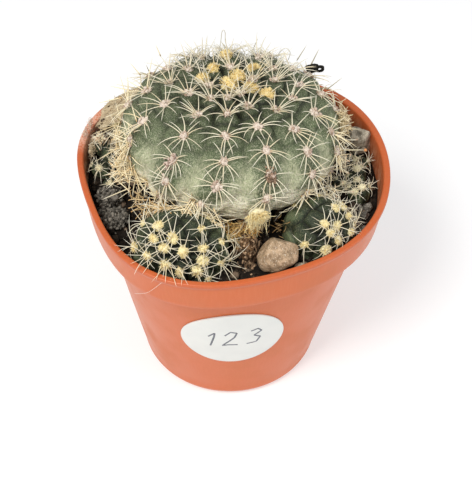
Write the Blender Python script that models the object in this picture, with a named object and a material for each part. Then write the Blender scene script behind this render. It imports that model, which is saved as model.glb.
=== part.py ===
"""A small clustering cactus in its soft plastic nursery pot, with soil, stones and a round label.

The unit is the metre and +Z is up. The origin is the centre of the pot's foot, on the surface that
the pot stands on. The front of the pot, with the label, is its -Y side, and +X is to the right of it.
"""

import math
import random
from dataclasses import dataclass

import bmesh
import bpy
from mathutils import Matrix, Vector, noise
from mathutils.geometry import intersect_line_line

MM = 0.001
GAP = 0.3 * MM

# Pot
POT_HEIGHT = 50.5 * MM
LIP_RADIUS = 32.5 * MM
LIP_WIDTH = 1.45 * MM
LIP_HEIGHT = 1.0 * MM
LIP_OVERHANG = 0.4 * MM
COLLAR_HEIGHT = 8.15 * MM
COLLAR_FOOT_RADIUS = 31.2 * MM
BODY_TOP_RADIUS = 28.65 * MM
BODY_FOOT_RADIUS = 20.05 * MM
FOOT_ROUNDING = 2.5 * MM
WALL = 0.9 * MM
POT_SIDES = 40
DRAIN_HOLES = 4
DRAIN_RADIUS = 2.5 * MM
DRAIN_CIRCLE = 10.0 * MM

# The soft rim is pressed out of round. Each row is a number of lobes, their share of the radius and
# the angle of one of them from +X. The share fades to nothing at the foot. One lobe is a lean.
RIM_LOBES = ((1, 0.055, 77.2), (2, 0.022, 17.7), (3, 0.033, 24.0), (4, 0.030, 57.7))

# Soil
SOIL_LEVEL = 45.4 * MM
SOIL_BUMPS = 0.4 * MM
SOIL_BUMP_SPREAD = 5.0 * MM
SOIL_FALL = 0.6 * MM
# The pressed wall is a little twisted between its corners, so the soil stays this clear of its body.
SOIL_GAP = 0.6 * MM
SOCKET_CLEARANCE = 0.5 * MM
STEM_FOOT = 43.95 * MM

# Label
LABEL_RADIUS = 10.9 * MM
LABEL_THICKNESS = 0.3 * MM
LABEL_HEIGHT = 26.9 * MM
LABEL_SHIFT = 1.1 * MM

# Spines
NEEDLE_THICKNESS = 0.42 * MM
NEEDLE_DEPTH = 0.6 * MM
NEEDLE_RING = 0.34 * MM
ROOT_FALL = 0.7
NEEDLE_LIFT = (0.25, 0.6)
NEEDLE_LIFT_STEP = 0.28
NEEDLE_TRIES = 5
NEEDLE_CLEARANCE = 0.55 * MM
SOIL_CLEARANCE = 0.9 * MM
NEEDLE_APART = 0.75 * MM

# How full every rounded form is: 2 is an ellipsoid, and more is boxier.
FULLNESS = 2.3

# Stones: dents over the radius, and how far apart in the noise two stones are taken
STONE_DENTS_ACROSS = 1.3
STONE_APART = 7.0

# A small step over a stem's surface, to find its slopes there
NEAR = 0.02

# The seed of the first stem's spines. Each later stem takes the next one.
FIRST_SEED = 20


@dataclass
class Form:
    """A closed rounded form: its half sizes across, up its face and along its axis, and its pose."""

    name: str
    centre: tuple
    half_sizes: tuple
    axis: tuple = (0.0, 0.0, 1.0)

    def matrix(self):
        along = Vector(self.axis).normalized()
        across = Vector((0.0, 1.0, 0.0)).cross(along)
        if across.length < 0.2:
            across = Vector((1.0, 0.0, 0.0))
        across = (across - along * across.dot(along)).normalized()
        turn = Matrix((across, along.cross(across), along)).transposed()
        return Matrix.Translation(Vector(self.centre) * MM) @ turn.to_4x4()

    def point(self, azimuth, polar, size=1.0):
        """The point of the form at these angles, in its own frame: azimuth from -Y, polar from the axis."""
        out, up = math.sin(polar), math.cos(polar)
        reach = (abs(out) ** FULLNESS + abs(up) ** FULLNESS) ** (-1.0 / FULLNESS) * size * MM
        a, b, c = self.half_sizes
        return Vector(
            (
                a * out * reach * math.sin(azimuth),
                -b * out * reach * math.cos(azimuth),
                c * up * reach,
            )
        )

    def holds(self, place, margin):
        """Whether this point of the world is inside the form, grown by the margin."""
        local = self.matrix().inverted() @ place
        a, b, c = (half * MM + margin for half in self.half_sizes)
        out = math.hypot(local.x / a, local.y / b)
        return out**FULLNESS + abs(local.z / c) ** FULLNESS < 1.0


@dataclass
class Stem:
    """A globe of ribs made of tubercles. Each rib is its azimuth in degrees and its areoles' phase."""

    form: Form
    ribs: tuple
    first_areole: float
    areole_step: float
    areole_growth: float
    last_areole: float
    relief: float
    columns: int
    rows: int
    needles: int
    needle_length: float
    woolly_to: float
    pad_radius: float
    colour: tuple


def even_ribs(count, turn):
    return tuple((turn + 360.0 * k / count, 0.5 * (k % 2)) for k in range(count))


# Stems: places and half sizes in millimetres
MAIN_STEM = Stem(
    form=Form("stem_main", (-0.2, 6.4, 56.0), (23.0, 22.7, 13.5), (0.0, 0.13, 0.99)),
    ribs=(
        (-93, 0.0),
        (-65, 0.4),
        (-31, 0.0),
        (-3, 0.7),
        (22, 0.4),
        (46, 0.0),
        (71, 0.1),
        (97, 0.3),
        (125, 0.6),
        (154, 0.1),
        (182, 0.5),
        (210, 0.0),
        (239, 0.6),
    ),
    first_areole=10.0,
    areole_step=9.5,
    areole_growth=1.1,
    last_areole=108.0,
    relief=0.085,
    columns=3,
    rows=14,
    needles=5,
    needle_length=5.6,
    woolly_to=22.0,
    pad_radius=1.2,
    colour=(0.13, 0.17, 0.10),
)
FRONT_LEFT = Stem(
    form=Form("offset_front_left", (-9.7, -18.4, 47.2), (9.8, 8.7, 8.0), (0.07, -0.77, 0.63)),
    ribs=(
        (-14, -0.1),
        (20, 0.6),
        (47, 0.2),
        (80, 0.3),
        (113, 0.4),
        (150, 0.9),
        (205, 0.35),
        (236, 0.1),
        (266, 0.2),
        (296, 0.1),
    ),
    first_areole=20.0,
    areole_step=22.0,
    areole_growth=1.5,
    last_areole=100.0,
    relief=0.12,
    columns=3,
    rows=10,
    needles=4,
    needle_length=4.6,
    woolly_to=60.0,
    pad_radius=0.95,
    colour=(0.04, 0.075, 0.05),
)
FRONT_RIGHT = Stem(
    form=Form("offset_front_right", (18.0, -12.5, 46.8), (7.4, 7.0, 6.5), (0.45, -0.61, 0.66)),
    ribs=even_ribs(9, 8.0),
    first_areole=14.0,
    areole_step=22.0,
    areole_growth=1.5,
    last_areole=100.0,
    relief=0.12,
    columns=3,
    rows=9,
    needles=4,
    needle_length=4.0,
    woolly_to=50.0,
    pad_radius=0.85,
    colour=(0.05, 0.09, 0.06),
)


def small_offset(name, centre, half_width, turn):
    return Stem(
        form=Form(name, centre, (half_width, half_width, half_width * 0.95)),
        ribs=even_ribs(5, turn),
        first_areole=28.0,
        areole_step=44.0,
        areole_growth=0.0,
        last_areole=80.0,
        relief=0.14,
        columns=2,
        rows=5,
        needles=3,
        needle_length=2.6,
        woolly_to=0.0,
        pad_radius=0.6,
        colour=(0.07, 0.10, 0.06),
    )


SMALL_OFFSETS = (
    small_offset("offset_right_1", (26.9, -0.9, 46.3), 2.4, 10.0),
    small_offset("offset_right_2", (26.6, 4.1, 46.5), 2.2, 40.0),
    small_offset("offset_right_3", (27.6, 8.3, 46.1), 1.8, 0.0),
    small_offset("offset_right_4", (22.8, 1.6, 45.9), 1.4, 25.0),
    small_offset("offset_left_1", (-27.3, 10.5, 47.4), 2.2, 15.0),
    small_offset("offset_left_2", (-27.5, 5.3, 46.4), 2.3, 50.0),
    small_offset("offset_left_3", (-25.5, 1.0, 46.0), 1.6, 5.0),
)


@dataclass
class Stone:
    """A rough lump: its form, the share of its size that its dents take, and its colour."""

    form: Form
    dents: float
    colour: tuple


BROWN = (0.30, 0.22, 0.17)
GREY = (0.24, 0.23, 0.22)
DARK = (0.05, 0.05, 0.05)
BARK_BROWN = (0.10, 0.055, 0.03)

# Stones and lumps: places and half sizes in millimetres
STONES = (
    Stone(Form("pebble_brown", (9.9, -20.2, 47.8), (3.9, 3.5, 3.3), (0.2, -0.2, 0.95)), 0.10, BROWN),
    Stone(Form("stone_grey_front", (14.0, -22.0, 45.8), (1.4, 1.4, 1.2)), 0.15, GREY),
    Stone(Form("stone_grey_right", (26.9, 13.2, 48.0), (2.6, 2.5, 3.0)), 0.15, GREY),
    Stone(Form("stone_small_1", (28.6, -4.5, 45.9), (1.1, 1.0, 0.9)), 0.15, GREY),
    Stone(Form("stone_small_2", (27.6, -6.9, 45.8), (1.0, 1.0, 0.8)), 0.15, GREY),
    Stone(Form("lump_dark_1", (-25.6, -3.7, 46.0), (2.4, 2.2, 1.9)), 0.30, DARK),
    Stone(Form("lump_dark_2", (-23.6, -9.7, 46.0), (2.2, 2.4, 1.8)), 0.30, DARK),
    Stone(Form("bark", (3.7, -17.0, 46.8), (1.7, 3.6, 2.0)), 0.35, BARK_BROWN),
)


def clear_scene():
    for thing in list(bpy.data.objects):
        bpy.data.objects.remove(thing, do_unlink=True)


def material(name, colour, roughness):
    made = bpy.data.materials.new(name)
    made.use_nodes = True
    shader = made.node_tree.nodes["Principled BSDF"]
    shader.inputs["Base Color"].default_value = (*colour, 1.0)
    shader.inputs["Roughness"].default_value = roughness
    shader.inputs["Metallic"].default_value = 0.0
    made.diffuse_color = (*colour, 1.0)
    return made


def add_object(name, bm, finish, collection=None):
    mesh = bpy.data.meshes.new(name)
    bm.to_mesh(mesh)
    bm.free()
    mesh.shade_smooth()
    mesh.set_sharp_from_angle(angle=math.radians(35.0))
    made = bpy.data.objects.new(name, mesh)
    if finish:
        mesh.materials.append(finish)
    (collection or bpy.context.scene.collection).objects.link(made)
    return made


def press(angle, height):
    """How far the wall is pressed out or in at this angle and height, as a share of the radius."""
    lobes = sum(share * math.cos(n * (angle - math.radians(turn))) for n, share, turn in RIM_LOBES)
    return 1.0 + lobes * height / POT_HEIGHT


def spun(profile, sides):
    """A profile of (radius, height) points turned about Z, then pressed out of round as the pot is."""
    bm = bmesh.new()
    points = [bm.verts.new((radius, 0.0, height)) for radius, height in profile]
    edges = [bm.edges.new(pair) for pair in zip(points, points[1:])]
    bmesh.ops.spin(
        bm,
        geom=points + edges,
        cent=(0.0, 0.0, 0.0),
        axis=(0.0, 0.0, 1.0),
        angle=math.tau,
        steps=sides,
        use_merge=True,
        use_duplicate=False,
    )
    bmesh.ops.remove_doubles(bm, verts=bm.verts, dist=0.001 * MM)
    for vert in bm.verts:
        share = press(math.atan2(vert.co.y, vert.co.x), vert.co.z)
        vert.co.x *= share
        vert.co.y *= share
    bmesh.ops.recalc_face_normals(bm, faces=bm.faces)
    return bm


def arc(centre, radius, start, end, steps):
    """Points of an arc in the profile's plane, at angles in degrees from outwards."""
    turns = (math.radians(start + (end - start) * k / steps) for k in range(steps + 1))
    return [(centre[0] + radius * math.cos(t), centre[1] + radius * math.sin(t)) for t in turns]


def body_radius(height):
    """The outer radius of the tapered body, before it is pressed out of round."""
    rise = (height - FOOT_ROUNDING) / (POT_HEIGHT - COLLAR_HEIGHT - FOOT_ROUNDING)
    return BODY_FOOT_RADIUS + (BODY_TOP_RADIUS - BODY_FOOT_RADIUS) * rise


def inner_radius(height):
    """The radius inside the wall, before it is pressed out of round."""
    ledge = POT_HEIGHT - COLLAR_HEIGHT + WALL
    if height < ledge:
        return body_radius(height) - WALL
    rise = (height - ledge) / (POT_HEIGHT - ledge)
    foot = COLLAR_FOOT_RADIUS - WALL
    return foot + (LIP_RADIUS - LIP_WIDTH - foot) * rise


def make_pot():
    ledge = POT_HEIGHT - COLLAR_HEIGHT
    lip_foot = POT_HEIGHT - LIP_HEIGHT
    foot = BODY_FOOT_RADIUS - FOOT_ROUNDING
    outside = [(0.0, 0.0)]
    outside += arc((foot, FOOT_ROUNDING), FOOT_ROUNDING, -90.0, 0.0, 2)
    outside += [
        (BODY_TOP_RADIUS, ledge),
        (COLLAR_FOOT_RADIUS, ledge),
        (LIP_RADIUS - LIP_OVERHANG, lip_foot),
        (LIP_RADIUS, lip_foot),
        (LIP_RADIUS, POT_HEIGHT),
    ]
    inside = [
        (LIP_RADIUS - LIP_WIDTH, POT_HEIGHT),
        (inner_radius(ledge + WALL), ledge + WALL),
        (body_radius(ledge + WALL) - WALL, ledge + WALL),
    ]
    inside += arc((foot, FOOT_ROUNDING), FOOT_ROUNDING - WALL, 0.0, -90.0, 1)
    inside += [(0.0, WALL)]
    plastic = material("plastic", (0.80, 0.22, 0.08), 0.42)
    pot = add_object("pot", spun(outside + inside, POT_SIDES), plastic)

    bm = bmesh.new()
    for k in range(DRAIN_HOLES):
        angle = math.tau * (k + 0.5) / DRAIN_HOLES
        place = Vector((math.cos(angle), math.sin(angle), 0.0)) * DRAIN_CIRCLE
        bmesh.ops.create_cone(
            bm,
            cap_ends=True,
            segments=12,
            radius1=DRAIN_RADIUS,
            radius2=DRAIN_RADIUS,
            depth=4.0 * WALL,
            matrix=Matrix.Translation(place),
        )
    cutter = add_object("drain_hole_cutter", bm, None)
    cutter.hide_render = True
    cutter.display_type = "WIRE"
    holes = pot.modifiers.new("drain holes", "BOOLEAN")
    holes.operation = "DIFFERENCE"
    holes.object = cutter
    holes.solver = "EXACT"


def soil_height(x, y):
    bump = noise.noise(Vector((x, y, 0.0)) / SOIL_BUMP_SPREAD)
    fall = (math.hypot(x, y) / LIP_RADIUS) ** 2
    return SOIL_LEVEL + SOIL_BUMPS * bump - SOIL_FALL * fall


def in_soil(place):
    """Whether this point is in the soil or too near it for a spine."""
    return place.z < soil_height(place.x, place.y) + SOIL_CLEARANCE


def form_mesh(bm, form, columns, rows, margin):
    """The plain form, grown by the margin, added to the bmesh in world space."""
    half_sizes = tuple(half + margin / MM for half in form.half_sizes)
    grown = Form(form.name, form.centre, half_sizes, form.axis)
    made = bmesh.ops.create_uvsphere(bm, u_segments=columns, v_segments=rows, radius=1.0)
    turn = grown.matrix()
    for vert in made["verts"]:
        polar = math.acos(max(-1.0, min(1.0, vert.co.z)))
        azimuth = math.atan2(vert.co.x, -vert.co.y)
        vert.co = turn @ grown.point(azimuth, polar)
    cut_foot(bm, STEM_FOOT - GAP)


def cut_foot(bm, height):
    """Cuts a closed form off flat at this height and closes it again. Below it nothing is left."""
    if min(vert.co.z for vert in bm.verts) > height:
        return
    geom = bm.verts[:] + bm.edges[:] + bm.faces[:]
    plane = {"plane_co": (0.0, 0.0, height), "plane_no": (0.0, 0.0, 1.0)}
    cut = bmesh.ops.bisect_plane(bm, geom=geom, dist=1e-8, clear_inner=True, **plane)["geom_cut"]
    rim = [thing for thing in cut if isinstance(thing, bmesh.types.BMEdge)]
    bmesh.ops.contextual_create(bm, geom=rim)
    bmesh.ops.recalc_face_normals(bm, faces=bm.faces)


def make_soil(forms):
    ledge = POT_HEIGHT - COLLAR_HEIGHT + WALL + GAP
    floor = WALL + SOIL_GAP
    foot = BODY_FOOT_RADIUS - FOOT_ROUNDING
    profile = [(0.0, floor)]
    profile += arc((foot, FOOT_ROUNDING), FOOT_ROUNDING - WALL - SOIL_GAP, -90.0, 0.0, 1)
    profile += [
        (body_radius(ledge) - WALL - SOIL_GAP, ledge),
        (inner_radius(ledge) - GAP, ledge),
        (inner_radius(SOIL_LEVEL) - GAP, SOIL_LEVEL),
    ]
    edge = inner_radius(SOIL_LEVEL) - GAP
    profile += [(edge * share, SOIL_LEVEL) for share in (0.85, 0.55, 0.0)]
    bm = spun(profile, POT_SIDES)
    for vert in bm.verts:
        if vert.co.z > SOIL_LEVEL - 0.01 * MM:
            vert.co.z = soil_height(vert.co.x, vert.co.y)
    soil = add_object("soil", bm, material("soil", (0.018, 0.014, 0.011), 0.95))

    sockets = bpy.data.collections.new("sockets")
    bpy.context.scene.collection.children.link(sockets)
    for form in forms:
        bm = bmesh.new()
        big = form.half_sizes[0] > 6.0
        form_mesh(bm, form, 16 if big else 8, 8 if big else 6, SOCKET_CLEARANCE)
        add_object(f"socket_{form.name}", bm, None, sockets)
    cut = soil.modifiers.new("sockets", "BOOLEAN")
    cut.operation = "DIFFERENCE"
    cut.operand_type = "COLLECTION"
    cut.collection = sockets
    cut.solver = "EXACT"
    apply_and_drop(soil, sockets)


def apply_and_drop(made, collection):
    """Applies the object's modifiers, then removes the collection that they used."""
    graph = bpy.context.evaluated_depsgraph_get()
    mesh = bpy.data.meshes.new_from_object(made.evaluated_get(graph))
    made.modifiers.clear()
    made.data = mesh
    for helper in list(collection.objects):
        bpy.data.objects.remove(helper, do_unlink=True)
    bpy.data.collections.remove(collection)


def keep_largest_shell(mesh):
    """Drops the scraps and fills the sealed hollows that a union of many needles can leave."""
    bm = bmesh.new()
    bm.from_mesh(mesh)
    left, shells = set(bm.faces), []
    while left:
        shell, edge = set(), [left.pop()]
        while edge:
            face = edge.pop()
            shell.add(face)
            near = {other for side in face.edges for other in side.link_faces if other in left}
            left -= near
            edge += near
        shells.append(shell)
    largest = max(shells, key=len)
    bmesh.ops.delete(bm, geom=[face for face in bm.faces if face not in largest], context="FACES")
    bm.to_mesh(mesh)
    bm.free()


def make_label():
    """A round sticker, bent to follow the wall that it is stuck on."""
    bm = bmesh.new()
    bmesh.ops.create_circle(bm, cap_ends=True, segments=32, radius=LABEL_RADIUS)
    for share in (-0.8, -0.6, -0.4, -0.2, 0.0, 0.2, 0.4, 0.6, 0.8):
        geom = bm.verts[:] + bm.edges[:] + bm.faces[:]
        place = (share * LABEL_RADIUS, 0.0, 0.0)
        bmesh.ops.bisect_plane(bm, geom=geom, dist=1e-7, plane_co=place, plane_no=(1.0, 0.0, 0.0))
    raised = bmesh.ops.extrude_face_region(bm, geom=bm.faces[:])["geom"]
    for thing in raised:
        if isinstance(thing, bmesh.types.BMVert):
            thing.co.z = LABEL_THICKNESS
    slope = math.atan2(
        BODY_TOP_RADIUS - BODY_FOOT_RADIUS,
        POT_HEIGHT - COLLAR_HEIGHT - FOOT_ROUNDING,
    )
    for vert in bm.verts:
        height = LABEL_HEIGHT + vert.co.y * math.cos(slope)
        radius = body_radius(height)
        angle = -math.pi / 2 + (LABEL_SHIFT + vert.co.x) / radius
        out = radius * press(angle, height) + (GAP + vert.co.z) / math.cos(slope)
        vert.co = (out * math.cos(angle), out * math.sin(angle), height)
    bmesh.ops.triangulate(bm, faces=bm.faces[:])
    bmesh.ops.recalc_face_normals(bm, faces=bm.faces)
    add_object("label", bm, material("paper", (0.85, 0.85, 0.84), 0.5))


def make_stone(stone, seed):
    form = stone.form
    bm = bmesh.new()
    bmesh.ops.create_icosphere(bm, subdivisions=2, radius=1.0)
    turn = form.matrix()
    for vert in bm.verts:
        polar = math.acos(max(-1.0, min(1.0, vert.co.z)))
        azimuth = math.atan2(vert.co.x, -vert.co.y)
        bump = noise.noise(vert.co * STONE_DENTS_ACROSS + Vector((STONE_APART * seed, 0.0, 0.0)))
        vert.co = turn @ form.point(azimuth, polar, 1.0 - stone.dents * (0.5 + bump))
    add_object(form.name, bm, material(form.name, stone.colour, 0.85))


def areoles(stem):
    """The rib and the polar angle in radians of each areole, from the crown down."""
    for rib, (_, phase) in enumerate(stem.ribs):
        step = 0
        while True:
            at = phase + step
            polar = stem.first_areole + stem.areole_step * at + stem.areole_growth * at * at
            if polar > stem.last_areole:
                break
            yield rib, math.radians(polar)
            step += 1


def areole_phase(stem, polar):
    """The inverse of the rule that spaces the areoles: how many steps down a rib this angle is."""
    fall = math.degrees(polar) - stem.first_areole
    if stem.areole_growth == 0.0:
        return fall / stem.areole_step
    root = stem.areole_step**2 + 4.0 * stem.areole_growth * fall
    return (math.sqrt(max(root, 0.0)) - stem.areole_step) / (2.0 * stem.areole_growth)


def stem_point(stem, along_ribs, polar):
    """A point of the ribbed surface. A whole number along the ribs is a rib's crest."""
    count = len(stem.ribs)
    rib = math.floor(along_ribs) % count
    share = along_ribs - math.floor(along_ribs)
    start, end = stem.ribs[rib][0], stem.ribs[(rib + 1) % count][0]
    end += 360.0 if end < start else 0.0
    azimuth = math.radians(start + (end - start) * share)
    phase = stem.ribs[rib if share < 0.5 else (rib + 1) % count][1]
    crest = 0.5 + 0.5 * math.cos(math.tau * share)
    tubercle = 0.5 + 0.5 * math.cos(math.tau * (areole_phase(stem, polar) - phase))
    bump = crest * (0.6 + 0.4 * tubercle)
    fade = min(1.0, math.sin(polar) * 2.5)
    return stem.form.point(azimuth, polar, 1.0 - stem.relief * fade * (1.0 - bump))


def make_stem_body(stem):
    bm = bmesh.new()
    count = len(stem.ribs)
    bmesh.ops.create_uvsphere(bm, u_segments=count * stem.columns, v_segments=stem.rows, radius=1.0)
    turn = stem.form.matrix()
    for vert in bm.verts:
        polar = math.acos(max(-1.0, min(1.0, vert.co.z)))
        along_ribs = math.atan2(vert.co.y, vert.co.x) / math.tau * count
        vert.co = turn @ stem_point(stem, along_ribs % count, polar)
    cut_foot(bm, STEM_FOOT)
    bmesh.ops.triangulate(bm, faces=bm.faces[:])
    bmesh.ops.recalc_face_normals(bm, faces=bm.faces)
    return add_object(stem.form.name, bm, material(stem.form.name, stem.colour, 0.6))


def needle_mesh(root, tip):
    """A three-sided spine from its sunk root to its point."""
    bm = bmesh.new()
    along = tip - root
    turn = along.to_track_quat("Z", "Y").to_matrix().to_4x4()
    bmesh.ops.create_cone(
        bm,
        cap_ends=True,
        segments=3,
        radius1=0.5 * NEEDLE_THICKNESS,
        radius2=0.0,
        depth=along.length,
        matrix=Matrix.Translation(root.lerp(tip, 0.5)) @ turn,
    )
    return bm


def pad_mesh(place, outward, radius):
    """A low five-sided pad of wool with its foot sunk in the stem."""
    bm = bmesh.new()
    turn = Matrix.Translation(place) @ outward.to_track_quat("Z", "Y").to_matrix().to_4x4()
    bmesh.ops.create_cone(
        bm,
        cap_ends=True,
        segments=5,
        radius1=radius,
        radius2=0.5 * radius,
        depth=1.4 * radius,
        matrix=turn,
    )
    return bm


def reach_apart(first, second):
    """The least distance between two straight stretches, each given by its two ends."""
    closest = intersect_line_line(*first, *second)
    if closest is None:
        return (first[0] - second[0]).length
    ends = []
    for near, (start, end) in zip(closest, (first, second)):
        along = (near - start).dot(end - start) / (end - start).length_squared
        ends.append(start.lerp(end, max(0.0, min(1.0, along))))
    return (ends[0] - ends[1]).length


def in_the_clear(needle, neighbours, taken):
    """Whether a spine misses the pot, the soil, the neighbouring forms and their spines.

    Its root is in its own stem, so the look along it starts a little way out.
    """
    for share in (0.3, 0.45, 0.6, 0.75, 0.9, 1.0):
        place = needle[0].lerp(needle[1], share)
        out, angle = math.hypot(place.x, place.y), math.atan2(place.y, place.x)
        if place.z < POT_HEIGHT + NEEDLE_CLEARANCE:
            room = inner_radius(min(place.z, POT_HEIGHT)) * press(angle, min(place.z, POT_HEIGHT))
            if out > room - NEEDLE_CLEARANCE:
                return False
        if out < LIP_RADIUS and in_soil(place):
            return False
        if any(form.holds(place, NEEDLE_CLEARANCE) for form in neighbours):
            return False
    return all(reach_apart(needle, other) > NEEDLE_APART for other in taken)


def grow_needles(stem, neighbours, taken, draw):
    """The spines of a stem, each as its root and tip. One that would cross a neighbour is lifted."""
    turn = stem.form.matrix()
    grown = []
    for rib, polar in areoles(stem):
        place = turn @ stem_point(stem, float(rib), polar)
        if in_soil(place):
            continue
        down = (turn @ stem_point(stem, float(rib), polar + NEAR) - place).normalized()
        side = (turn @ stem_point(stem, rib + NEAR, polar) - place).normalized()
        outward = side.cross(down).normalized()
        if outward.dot(place - turn.translation) < 0.0:
            outward.negate()
        woolly = math.degrees(polar) < stem.woolly_to
        ring = stem.pad_radius * MM + 0.5 * NEEDLE_THICKNESS if woolly else NEEDLE_RING
        spread = draw.uniform(0.0, math.tau)
        for k in range(stem.needles):
            around = spread + math.tau * k / stem.needles + draw.uniform(-0.3, 0.3)
            flat = down * math.cos(around) + side * math.sin(around)
            length = stem.needle_length * MM * draw.uniform(0.8, 1.12)
            start = place + flat * ring
            lift = draw.uniform(*NEEDLE_LIFT)
            for _ in range(NEEDLE_TRIES):
                tip = start + (flat * math.cos(lift) + outward * math.sin(lift)) * length
                needle = (start - outward * (NEEDLE_DEPTH + ROOT_FALL * ring), tip)
                if in_the_clear(needle, neighbours, taken):
                    grown.append(needle)
                    break
                lift += NEEDLE_LIFT_STEP
    return grown


def make_stem(stem, neighbours, taken, seed):
    draw = random.Random(seed)
    body = make_stem_body(stem)
    repeats = bpy.data.collections.new("repeats")
    bpy.context.scene.collection.children.link(repeats)
    grown = grow_needles(stem, neighbours, taken, draw)
    for root, tip in grown:
        add_object("needle", needle_mesh(root, tip), None, repeats)
    turn = stem.form.matrix()
    for rib, polar in areoles(stem):
        place = turn @ stem_point(stem, float(rib), polar)
        if math.degrees(polar) < stem.woolly_to and not in_soil(place):
            outward = (place - turn.translation).normalized()
            add_object("pad", pad_mesh(place, outward, stem.pad_radius * MM), None, repeats)
    join = body.modifiers.new("repeats", "BOOLEAN")
    join.operation = "UNION"
    join.operand_type = "COLLECTION"
    join.collection = repeats
    join.solver = "MANIFOLD"
    apply_and_drop(body, repeats)
    keep_largest_shell(body.data)
    taken += grown


def main():
    clear_scene()
    stems = (MAIN_STEM, FRONT_LEFT, FRONT_RIGHT, *SMALL_OFFSETS)
    forms = [piece.form for piece in (*stems, *STONES)]
    make_pot()
    make_soil(forms)
    make_label()
    for seed, stone in enumerate(STONES):
        make_stone(stone, seed)
    taken = []
    for seed, stem in enumerate(stems, FIRST_SEED):
        neighbours = [form for form in forms if form is not stem.form]
        make_stem(stem, neighbours, taken, seed)


main()
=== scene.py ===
# %% [markdown]
# # A small clustering cactus in its nursery pot
#
# The real object is a low globe with shallow ribs, grown in a soft terracotta-coloured nursery pot,
# with smaller offsets round it, a few stones, dark potting mix and a round paper label. The packed
# model gives the frame: every size and place below is in its coordinates, in metres, with +Z up, the
# label towards -Y and the origin at the centre of the pot's foot.
#
# The work goes from the large forms to the fine ones: the pot and its label, the soil and the
# stones, then the skins of the stems, and last the wool and the spines that give the plant its look.

# %% Load the frame
import math
import random
from dataclasses import dataclass, replace

import bmesh
import bpy
from mathutils import Matrix, Vector, kdtree, noise


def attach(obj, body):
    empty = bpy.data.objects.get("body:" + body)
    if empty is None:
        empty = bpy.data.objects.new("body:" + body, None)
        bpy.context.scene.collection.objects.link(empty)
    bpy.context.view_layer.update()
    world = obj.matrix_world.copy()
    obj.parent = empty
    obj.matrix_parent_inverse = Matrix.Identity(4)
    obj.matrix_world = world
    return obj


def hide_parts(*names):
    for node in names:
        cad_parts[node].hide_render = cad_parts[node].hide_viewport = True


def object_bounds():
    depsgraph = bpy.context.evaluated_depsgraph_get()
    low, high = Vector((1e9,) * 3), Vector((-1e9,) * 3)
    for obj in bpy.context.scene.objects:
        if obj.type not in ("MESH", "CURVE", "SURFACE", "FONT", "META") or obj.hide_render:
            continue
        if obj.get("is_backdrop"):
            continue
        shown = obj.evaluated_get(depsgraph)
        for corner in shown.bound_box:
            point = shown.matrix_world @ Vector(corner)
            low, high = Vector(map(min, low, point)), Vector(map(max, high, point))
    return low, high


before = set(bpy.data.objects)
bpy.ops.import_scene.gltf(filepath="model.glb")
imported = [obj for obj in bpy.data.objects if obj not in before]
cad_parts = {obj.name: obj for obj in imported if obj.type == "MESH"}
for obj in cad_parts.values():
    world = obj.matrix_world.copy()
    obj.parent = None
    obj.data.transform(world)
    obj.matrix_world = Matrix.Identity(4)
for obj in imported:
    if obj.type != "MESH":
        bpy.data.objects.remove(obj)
cad_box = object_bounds()
MM = 0.001
BODY = "root"
print("nodes:", sorted(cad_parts))
print("box in mm:", [[round(x / MM, 1) for x in corner] for corner in cad_box])

# %% [markdown]
# ## The camera
#
# The photograph was taken from the front and well above, from about four rim widths away. A camera
# like that can be set by trial, or solved from the pot, whose rim, collar and foot are known circles.
# Its numbers below were solved so, because a solved camera lets every piece be placed by its
# pixel. Its focal length is in pixels of the 472 by 500 frame, and the lens is that share of a 36 mm
# sensor.

# %% Camera
FRAME_HIGH = 500
SENSOR = 36.0
FOCAL_PIXELS = 1213.9
CAMERA_DISTANCE = 267.05 * MM
CAMERA_ELEVATION = 0.8286
CAMERA_ROLL = -0.0155
AIM_HEIGHT = 30.3 * MM
AIM_RIGHT = 1.305 * MM
AIM_UP = -2.124 * MM

view_back = Vector((0.0, -math.cos(CAMERA_ELEVATION), math.sin(CAMERA_ELEVATION)))
view_right = Vector((1.0, 0.0, 0.0))
view_up = Vector((0.0, math.sin(CAMERA_ELEVATION), math.cos(CAMERA_ELEVATION)))
aim = Vector((0.0, 0.0, AIM_HEIGHT)) + view_right * AIM_RIGHT + view_up * AIM_UP
camera_x = math.cos(CAMERA_ROLL) * view_right - math.sin(CAMERA_ROLL) * view_up
camera_y = math.sin(CAMERA_ROLL) * view_right + math.cos(CAMERA_ROLL) * view_up

camera = bpy.data.objects.new("camera", bpy.data.cameras.new("camera"))
camera.data.sensor_width = SENSOR
camera.data.lens = FOCAL_PIXELS * SENSOR / FRAME_HIGH
camera.data.clip_start = 10.0 * MM
camera.data.clip_end = 10.0
turn = Matrix((camera_x, camera_y, view_back)).transposed().to_4x4()
camera.matrix_world = Matrix.Translation(aim + view_back * CAMERA_DISTANCE) @ turn
bpy.context.scene.collection.objects.link(camera)
bpy.context.scene.camera = camera
print("lens:", round(camera.data.lens, 1), "mm")

# %% [markdown]
# ## Shader maths
#
# A procedural finish is mostly sums: this noise times that mask plus a constant. Written as nodes
# they take ten lines each, so one small class wraps a socket and turns Python's operators into Math
# nodes. A second class makes the material and holds the few patterns that every finish here uses.


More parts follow.
